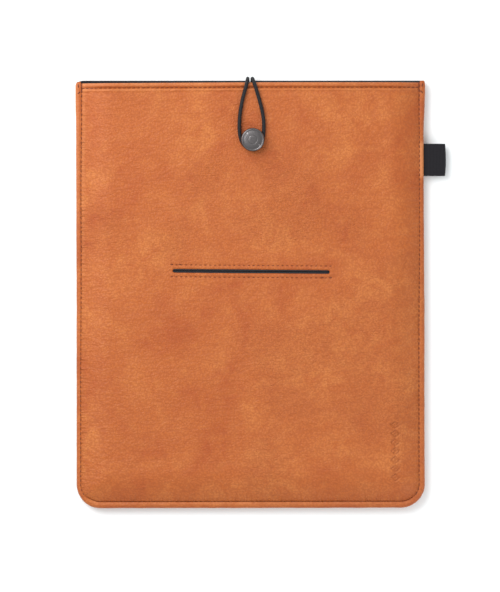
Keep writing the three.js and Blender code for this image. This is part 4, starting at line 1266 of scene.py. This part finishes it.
class SLEEVE_OT_side_tab(bpy.types.Operator):
    """Ribbed ribbon folded double and caught in the right seam"""

    bl_idname = "sleeve.side_tab"
    bl_label = "Side tab"

    def execute(self, context):
        thick = 0.6
        near, far = thick / 2 + 0.05, 0.95
        root_x, tip = TAB_LOW[0], TAB_HIGH[0] - thick / 2
        line = [(root_x, -near), (HALF_WIDTH - 0.4, -near), (HALF_WIDTH + 1.2, -near - 0.04),
                (111, -0.62), (113.5, -0.85), (116.5, -far), (tip - far, -far)]
        fold = [(tip - far + far * math.cos(a), far * math.sin(a))
                for a in np.linspace(-1.35, 1.35, 9)]
        corners = np.array([(x, 0.0, z) for x, z in line + fold + [(x, -z) for x, z in line[::-1]]])
        middle, length = spline(corners, 0.16)
        along = np.gradient(middle[:, [0, 2]], axis=0)
        along /= np.linalg.norm(along, axis=1, keepdims=True)
        normal = np.stack([along[:, 1], -along[:, 0]], axis=-1)
        half = (TAB_HIGH[1] - TAB_LOW[1]) / 2
        across = np.concatenate([[-half, -half + 0.12, -half + 0.45],
                                 np.linspace(-half + 0.8, half - 0.8, 44),
                                 [half - 0.45, half - 0.12, half]])
        run = np.linspace(0, length, len(middle))
        rib = (0.035 * np.cos(2 * math.pi * run / 0.9)[:, None]
               + 0.02 * np.cos(2 * math.pi * across / 0.8)[None])
        edge = np.clip((half - np.abs(across)) / 0.45, 0, 1)
        thin = 0.55 + 0.45 * np.sqrt(1 - (1 - edge) ** 2)
        reach = smooth(middle[:, 0], 110, 121)
        bow = -0.5 * reach[:, None] * (across[None] / half) ** 2
        sag = cloud(across[None] + run[:, None] * 0.1, run[:, None] * 0.4, 8, 5)
        sag = 0.12 * reach[:, None] * sag
        grids = []
        for sign in (1, -1):
            offset = sign * (thick / 2 - 0.06) * thin[None] + rib * sign
            x = middle[:, None, 0] + normal[:, None, 0] * offset + bow
            z = SEAM_MID + middle[:, None, 2] + normal[:, None, 1] * offset + sag
            grids.append(np.stack([x, TAB_Y + np.broadcast_to(across[None], x.shape), z], axis=-1))
        uv = np.stack(np.broadcast_arrays(run[:, None], across[None]), axis=-1) * MM
        piece = two_sided("tab_ribbon", grids[0], grids[1], uv=uv)
        dress(piece, "webbing", None, "black_webbing", "side_tab")
        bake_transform(piece)
        return {"FINISHED"}


# ---------------------------------------------------------------- stitching

def stitch_tree(name, material):
    """Geometry nodes that lay one stitch at every pitch along a line of points."""
    tree = bpy.data.node_groups.new(name, "GeometryNodeTree")
    face = tree.interface
    face.new_socket("Line", in_out="INPUT", socket_type="NodeSocketGeometry")
    for label, value in (("Pitch", 0.0028), ("Length", 0.0021), ("Width", 0.0005), ("Arch", 0.00035),
                         ("Slant", 0.1), ("Jitter", 0.06)):
        socket = face.new_socket(label, in_out="INPUT", socket_type="NodeSocketFloat")
        socket.default_value = value
    up = face.new_socket("Up", in_out="INPUT", socket_type="NodeSocketVector")
    up.default_value = (0, 0, 1)
    face.new_socket("Seed", in_out="INPUT", socket_type="NodeSocketInt")
    face.new_socket("Stitches", in_out="OUTPUT", socket_type="NodeSocketGeometry")

    def add(kind, inputs, **settings):
        """Adds a node, whose inputs take values or other nodes' sockets, and gives its outputs."""
        node = tree.nodes.new(kind)
        for key, value in settings.items():
            setattr(node, key, value)
        for key, value in inputs.items():
            if isinstance(value, bpy.types.NodeSocket):
                tree.links.new(value, node.inputs[key])
            else:
                node.inputs[key].default_value = value
        return node.outputs

    def point(x, y, z):
        return add("ShaderNodeCombineXYZ", {0: x, 1: y, 2: z})[0]

    def times(value, factor):
        return add("ShaderNodeMath", {0: value, 1: factor}, operation="MULTIPLY")[0]

    given = add("NodeGroupInput", {})
    foot = times(given["Arch"], -0.9)
    bead = add("GeometryNodeCurveQuadraticBezier", {
        "Resolution": 5,
        "Start": point(times(given["Length"], -0.5), 0.0, foot),
        "Middle": point(0.0, 0.0, times(given["Arch"], 1.35)),
        "End": point(times(given["Length"], 0.5), 0.0, foot)})
    section = add("GeometryNodeCurvePrimitiveCircle", {
        "Resolution": 6, "Radius": times(given["Width"], 0.5)}, mode="RADIUS")
    stitch = add("GeometryNodeCurveToMesh", {
        "Curve": bead[0], "Profile Curve": section["Curve"], "Fill Caps": True})

    points = add("GeometryNodeCurveToPoints", {
        "Curve": given["Line"], "Length": given["Pitch"]}, mode="LENGTH")
    ahead = add("FunctionNodeAlignRotationToVector", {"Vector": points["Tangent"]}, axis="X")
    upright = add("FunctionNodeAlignRotationToVector", {
        "Rotation": ahead["Rotation"], "Vector": given["Up"]}, axis="Z", pivot_axis="X")
    sway = add("FunctionNodeRandomValue", {
        2: times(given["Jitter"], -1.0), 3: given["Jitter"], "Seed": given["Seed"]},
        data_type="FLOAT")
    slant = add("ShaderNodeMath", {0: sway[1], 1: given["Slant"]}, operation="ADD")
    turn = add("FunctionNodeEulerToRotation", {0: point(0.0, 0.0, slant[0])})
    aimed = add("FunctionNodeRotateRotation", {
        "Rotation": upright["Rotation"], "Rotate By": turn[0]}, rotation_space="LOCAL")
    placed = add("GeometryNodeInstanceOnPoints", {
        "Points": points["Points"], "Instance": stitch["Mesh"], "Rotation": aimed["Rotation"]})
    real = add("GeometryNodeRealizeInstances", {"Geometry": placed["Instances"]})
    soft = add("GeometryNodeSetShadeSmooth", {"Geometry": real[0]})
    coat = add("GeometryNodeSetMaterial", {"Geometry": soft[0], "Material": material})
    add("NodeGroupOutput", {0: coat[0]})
    return tree


def stitch_row(name, lines, look, values):
    """Stitches along one or more lines of points in millimetres, as one plain mesh object."""
    key = "stitches in " + look
    tree = bpy.data.node_groups.get(key) or stitch_tree(key, finish(look))
    curve = bpy.data.curves.new(name + "_line", "CURVE")
    curve.dimensions = "3D"
    for line in lines:
        strip = curve.splines.new("POLY")
        strip.points.add(len(line) - 1)
        strip.points.foreach_set("co", np.c_[np.asarray(line) * MM, np.ones(len(line))].ravel())
    guide = bpy.data.objects.new(name + "_line", curve)
    bpy.context.scene.collection.objects.link(guide)
    modifier = guide.modifiers.new("Stitches", "NODES")
    modifier.node_group = tree
    sockets = {s.name: s.identifier for s in tree.interface.items_tree if s.in_out == "INPUT"}
    for label, value in values.items():
        modifier[sockets[label]] = value
    bpy.context.view_layer.update()
    graph = bpy.context.evaluated_depsgraph_get()
    mesh = bpy.data.meshes.new_from_object(guide.evaluated_get(graph))
    mesh.name = name
    bpy.data.objects.remove(guide)
    piece = bpy.data.objects.new(name, mesh)
    bpy.context.scene.collection.objects.link(piece)
    return piece


class SLEEVE_OT_stitching(bpy.types.Operator):
    """Every stitch row: seams, mouth hems, slit, corner tacks, pocket and loop tack"""

    bl_idname = "sleeve.stitching"
    bl_label = "Stitching"

    def execute(self, context):
        sizes = context.scene.sleeve_sizes
        width = sizes.thread_width
        pitch = sizes.stitch_pitch
        common = {"Pitch": pitch, "Length": pitch * 0.6, "Width": width, "Arch": width * 0.5,
                  "Seed": sizes.seed}
        self.seam_rows(common)
        self.mouth_rows(common, sizes)
        self.slit_rows(common, sizes)
        self.corner_tacks(common)
        self.hidden_rows(common)
        return {"FINISHED"}

    def seam_rows(self, common):
        path = seam_path(1.4, MOUTH_Y - 2.0, MOUTH_Y - 2.0)
        widths = band_width(path[:, 0] + path[:, 2] * 3, path[:, 1] + path[:, 3] * 3)
        for name, node, side in (("seam_stitches_front", "seam_thread_front", 1),
                                 ("seam_stitches_rear", "seam_thread_rear", -1)):
            deep = bottom_share(path[:, 0], path[:, 1])
            height = SEAM_MID + side * (SEAM_HALF - 0.36 - 0.5 * deep)
            line = seam_points(path, widths + 0.22, height)
            piece = stitch_row(name, [line], "thread", {
                **common, "Width": common["Width"] * 1.2, "Up": (0.0, 0.0, float(side))})
            dress(piece, "thread", "root", "tan_thread", node)

    def mouth_rows(self, common, sizes):
        xs = np.linspace(-(HALF_WIDTH - 5), HALF_WIDTH - 5, 160)
        y = np.full_like(xs, MOUTH_Y - HEM_LINE)
        _, _, edge = outline_plan(xs, y, SHELL_INSET)
        line = settled(xs, y, front_top_height(xs, y, edge, sizes) + 0.1)
        piece = stitch_row("mouth_stitches_front", [line], "thread",
                           {**common, "Length": common["Pitch"] * 0.7})
        dress(piece, "thread", "root", "tan_thread", "mouth_thread_front")
        y = np.full_like(xs, REAR_EDGE_Y - HEM_LINE)
        line = settled(xs, y, rear_low_height(xs, y, edge, sizes) - 0.1)
        piece = stitch_row("mouth_stitches_rear", [line], "thread",
                           {**common, "Up": (0.0, 0.0, -1.0)})
        dress(piece, "thread", "root", "tan_thread", "mouth_thread_rear")

    def slit_rows(self, common, sizes):
        half = SLIT_LENGTH / 2 + 0.6
        for name, node, side in (("slit_stitches_upper", "slit_thread_upper", 1),
                                 ("slit_stitches_lower", "slit_thread_lower", -1)):
            along = np.linspace(-half, half, 60)
            x, y = from_slit(along, side * SLIT_ROW)
            top = front_top_height(x, y, np.full_like(x, 40.0), sizes) + 0.04
            row = np.stack([x, y, top], axis=-1)
            tack_at = -half if side > 0 else half
            back = np.linspace(tack_at, tack_at - math.copysign(5.0, tack_at), 6)
            bx, by = from_slit(back, side * SLIT_ROW + 0.3)
            top = front_top_height(bx, by, np.full_like(bx, 40.0), sizes) + 0.12
            tack = np.stack([bx, by, top], axis=-1)
            piece = stitch_row(name, [row, tack], "thread",
                               {**common, "Width": common["Width"] * 0.7})
            dress(piece, "thread", "root", "tan_thread", node)

    def corner_tacks(self, common):
        for name, side in (("corner_tack_left", -1), ("corner_tack_right", 1)):
            lines = []
            for start, end, top, length in ((0.3, 0.3, 1.2, 6.5), (-1.7, 0.5, 1.6, 3.4),
                                            (0.4, -1.3, 2.2, 3.6)):
                t = np.linspace(0, 1, 7)
                ys = MOUTH_Y - top - length * t
                shift = start + (end - start) * t
                x = side * (HALF_WIDTH - band_width(side * HALF_WIDTH + 0 * ys, ys) - shift)
                height = SEAM_MID + SEAM_HALF + 0.12 - 0.35 * smooth(shift, -0.6, 0.3)
                lines.append(settled(x, ys, height))
            piece = stitch_row(name + "_stitches", lines, "thread",
                               {**common, "Slant": 0.35 * side, "Width": common["Width"] * 1.2})
            dress(piece, "thread", "root", "tan_thread", name)

    def hidden_rows(self, common):
        low, high = box_mm("pocket_overlock")
        mid = (low[2] + high[2]) / 2
        inset = 0.35
        corners = np.array([(low[0] + inset, high[1], mid), (low[0] + inset, low[1] + inset, mid),
                            (high[0] - inset, low[1] + inset, mid), (high[0] - inset, high[1], mid)])
        piece = stitch_row("pocket_overlock_stitches", [corners], "black thread",
                           {**common, "Slant": 1.2, "Pitch": 0.0016, "Length": 0.0011, "Width": 0.0003,
                            "Arch": 0.00022})
        dress(piece, "black thread", "root", "black_thread", "pocket_overlock")
        low, high = box_mm("loop_tack")
        lines = [np.array([(low[0], y, z), (high[0], y, z)])
                 for y in np.linspace(low[1] + 0.2, high[1] - 0.2, 3)
                 for z in (low[2] + 0.3, high[2] - 0.3)]
        piece = stitch_row("loop_bar_tack", lines, "black thread",
                           {**common, "Slant": 1.35, "Pitch": 0.00045, "Length": 0.0012, "Width": 0.0004,
                            "Arch": 0.0002})
        dress(piece, "black thread", "root", "black_thread", "loop_tack")


# ---------------------------------------------------------------- stage

class SLEEVE_OT_stage(bpy.types.Operator):
    """Pale floor, soft studio light and the camera above the sleeve"""

    bl_idname = "sleeve.stage"
    bl_label = "Stage"

    def execute(self, context):
        scene = context.scene
        scene.view_settings.view_transform = "Standard"
        reach = 6.0
        mesh = bpy.data.meshes.new("floor")
        corners = [(-reach, -reach, 0), (reach, -reach, 0), (reach, reach, 0), (-reach, reach, 0)]
        mesh.from_pydata(corners, [], [(0, 1, 2, 3)])
        floor = bpy.data.objects.new("floor", mesh)
        scene.collection.objects.link(floor)
        n = Nodes("white paper")
        tone = n.mix(n.noise(n.place(), 3.0), (0.893, 0.922, 0.930), (0.903, 0.932, 0.940))
        n.shade(Base_Color=tone, Roughness=0.85, Specular_IOR_Level=0.1)
        mesh.materials.append(n.material)

        world = bpy.data.worlds.new("studio")
        world.use_nodes = True
        sky = world.node_tree.nodes["Background"].inputs
        sky["Color"].default_value = (1.0, 1.0, 1.0, 1.0)
        sky["Strength"].default_value = 0.79
        scene.world = world
        self.light("key", (-0.42, 0.42, 0.60), 0.8, 7.6)
        self.light("fill", (0.75, -0.70, 0.60), 0.9, 4.3)

        lens, sensor = 400.0, 36.0
        distance = VIEW_HEIGHT * MM * lens / sensor
        camera_data = bpy.data.cameras.new("camera")
        camera_data.lens = lens
        camera_data.sensor_width = sensor
        camera_data.clip_end = 50
        camera = bpy.data.objects.new("camera", camera_data)
        camera.location = (0.0, -0.6 * MM, FRONT_TOP * MM + distance)
        scene.collection.objects.link(camera)
        scene.camera = camera
        return {"FINISHED"}

    def light(self, name, place, size, power):
        data = bpy.data.lights.new(name, "AREA")
        data.shape = "DISK"
        data.size = size
        data.energy = power
        lamp = bpy.data.objects.new(name, data)
        lamp.location = place
        lamp.visible_camera = False
        direction = -np.array(place)
        lamp.rotation_euler = (math.acos(-direction[2] / np.linalg.norm(direction)), 0,
                               math.atan2(direction[1], direction[0]) + 3 * math.pi / 2)
        bpy.context.scene.collection.objects.link(lamp)


OPERATORS = [
    SLEEVE_OT_stage, SLEEVE_OT_elastic_loop, SLEEVE_OT_front_panel, SLEEVE_OT_rear_panel,
    SLEEVE_OT_edge_binding, SLEEVE_OT_linings, SLEEVE_OT_padding, SLEEVE_OT_slip_pocket,
    SLEEVE_OT_button, SLEEVE_OT_side_tab, SLEEVE_OT_stitching,
]


class SLEEVE_PT_panel(bpy.types.Panel):
    """Lists the sleeve's sizes, colours and building steps"""

    bl_idname = "SLEEVE_PT_panel"
    bl_label = "E-reader sleeve"
    bl_space_type = "VIEW_3D"
    bl_region_type = "UI"
    bl_category = "Sleeve"

    def draw(self, context):
        for group in (context.scene.sleeve_sizes, context.scene.sleeve_colours):
            for key in type(group).__annotations__:
                self.layout.prop(group, key)
        for operator in OPERATORS:
            self.layout.operator(operator.bl_idname)


CLASSES = [SleeveSizes, SleeveColours, *OPERATORS, SLEEVE_PT_panel]


def register():
    for kind in CLASSES:
        bpy.utils.register_class(kind)
    bpy.types.Scene.sleeve_sizes = PointerProperty(type=SleeveSizes)
    bpy.types.Scene.sleeve_colours = PointerProperty(type=SleeveColours)


def unregister():
    del bpy.types.Scene.sleeve_colours
    del bpy.types.Scene.sleeve_sizes
    for kind in reversed(CLASSES):
        bpy.utils.unregister_class(kind)


def main():
    register()
    for operator in OPERATORS:
        family, step = operator.bl_idname.split(".")
        getattr(getattr(bpy.ops, family), step)()


if __name__ == "__main__":
    main()
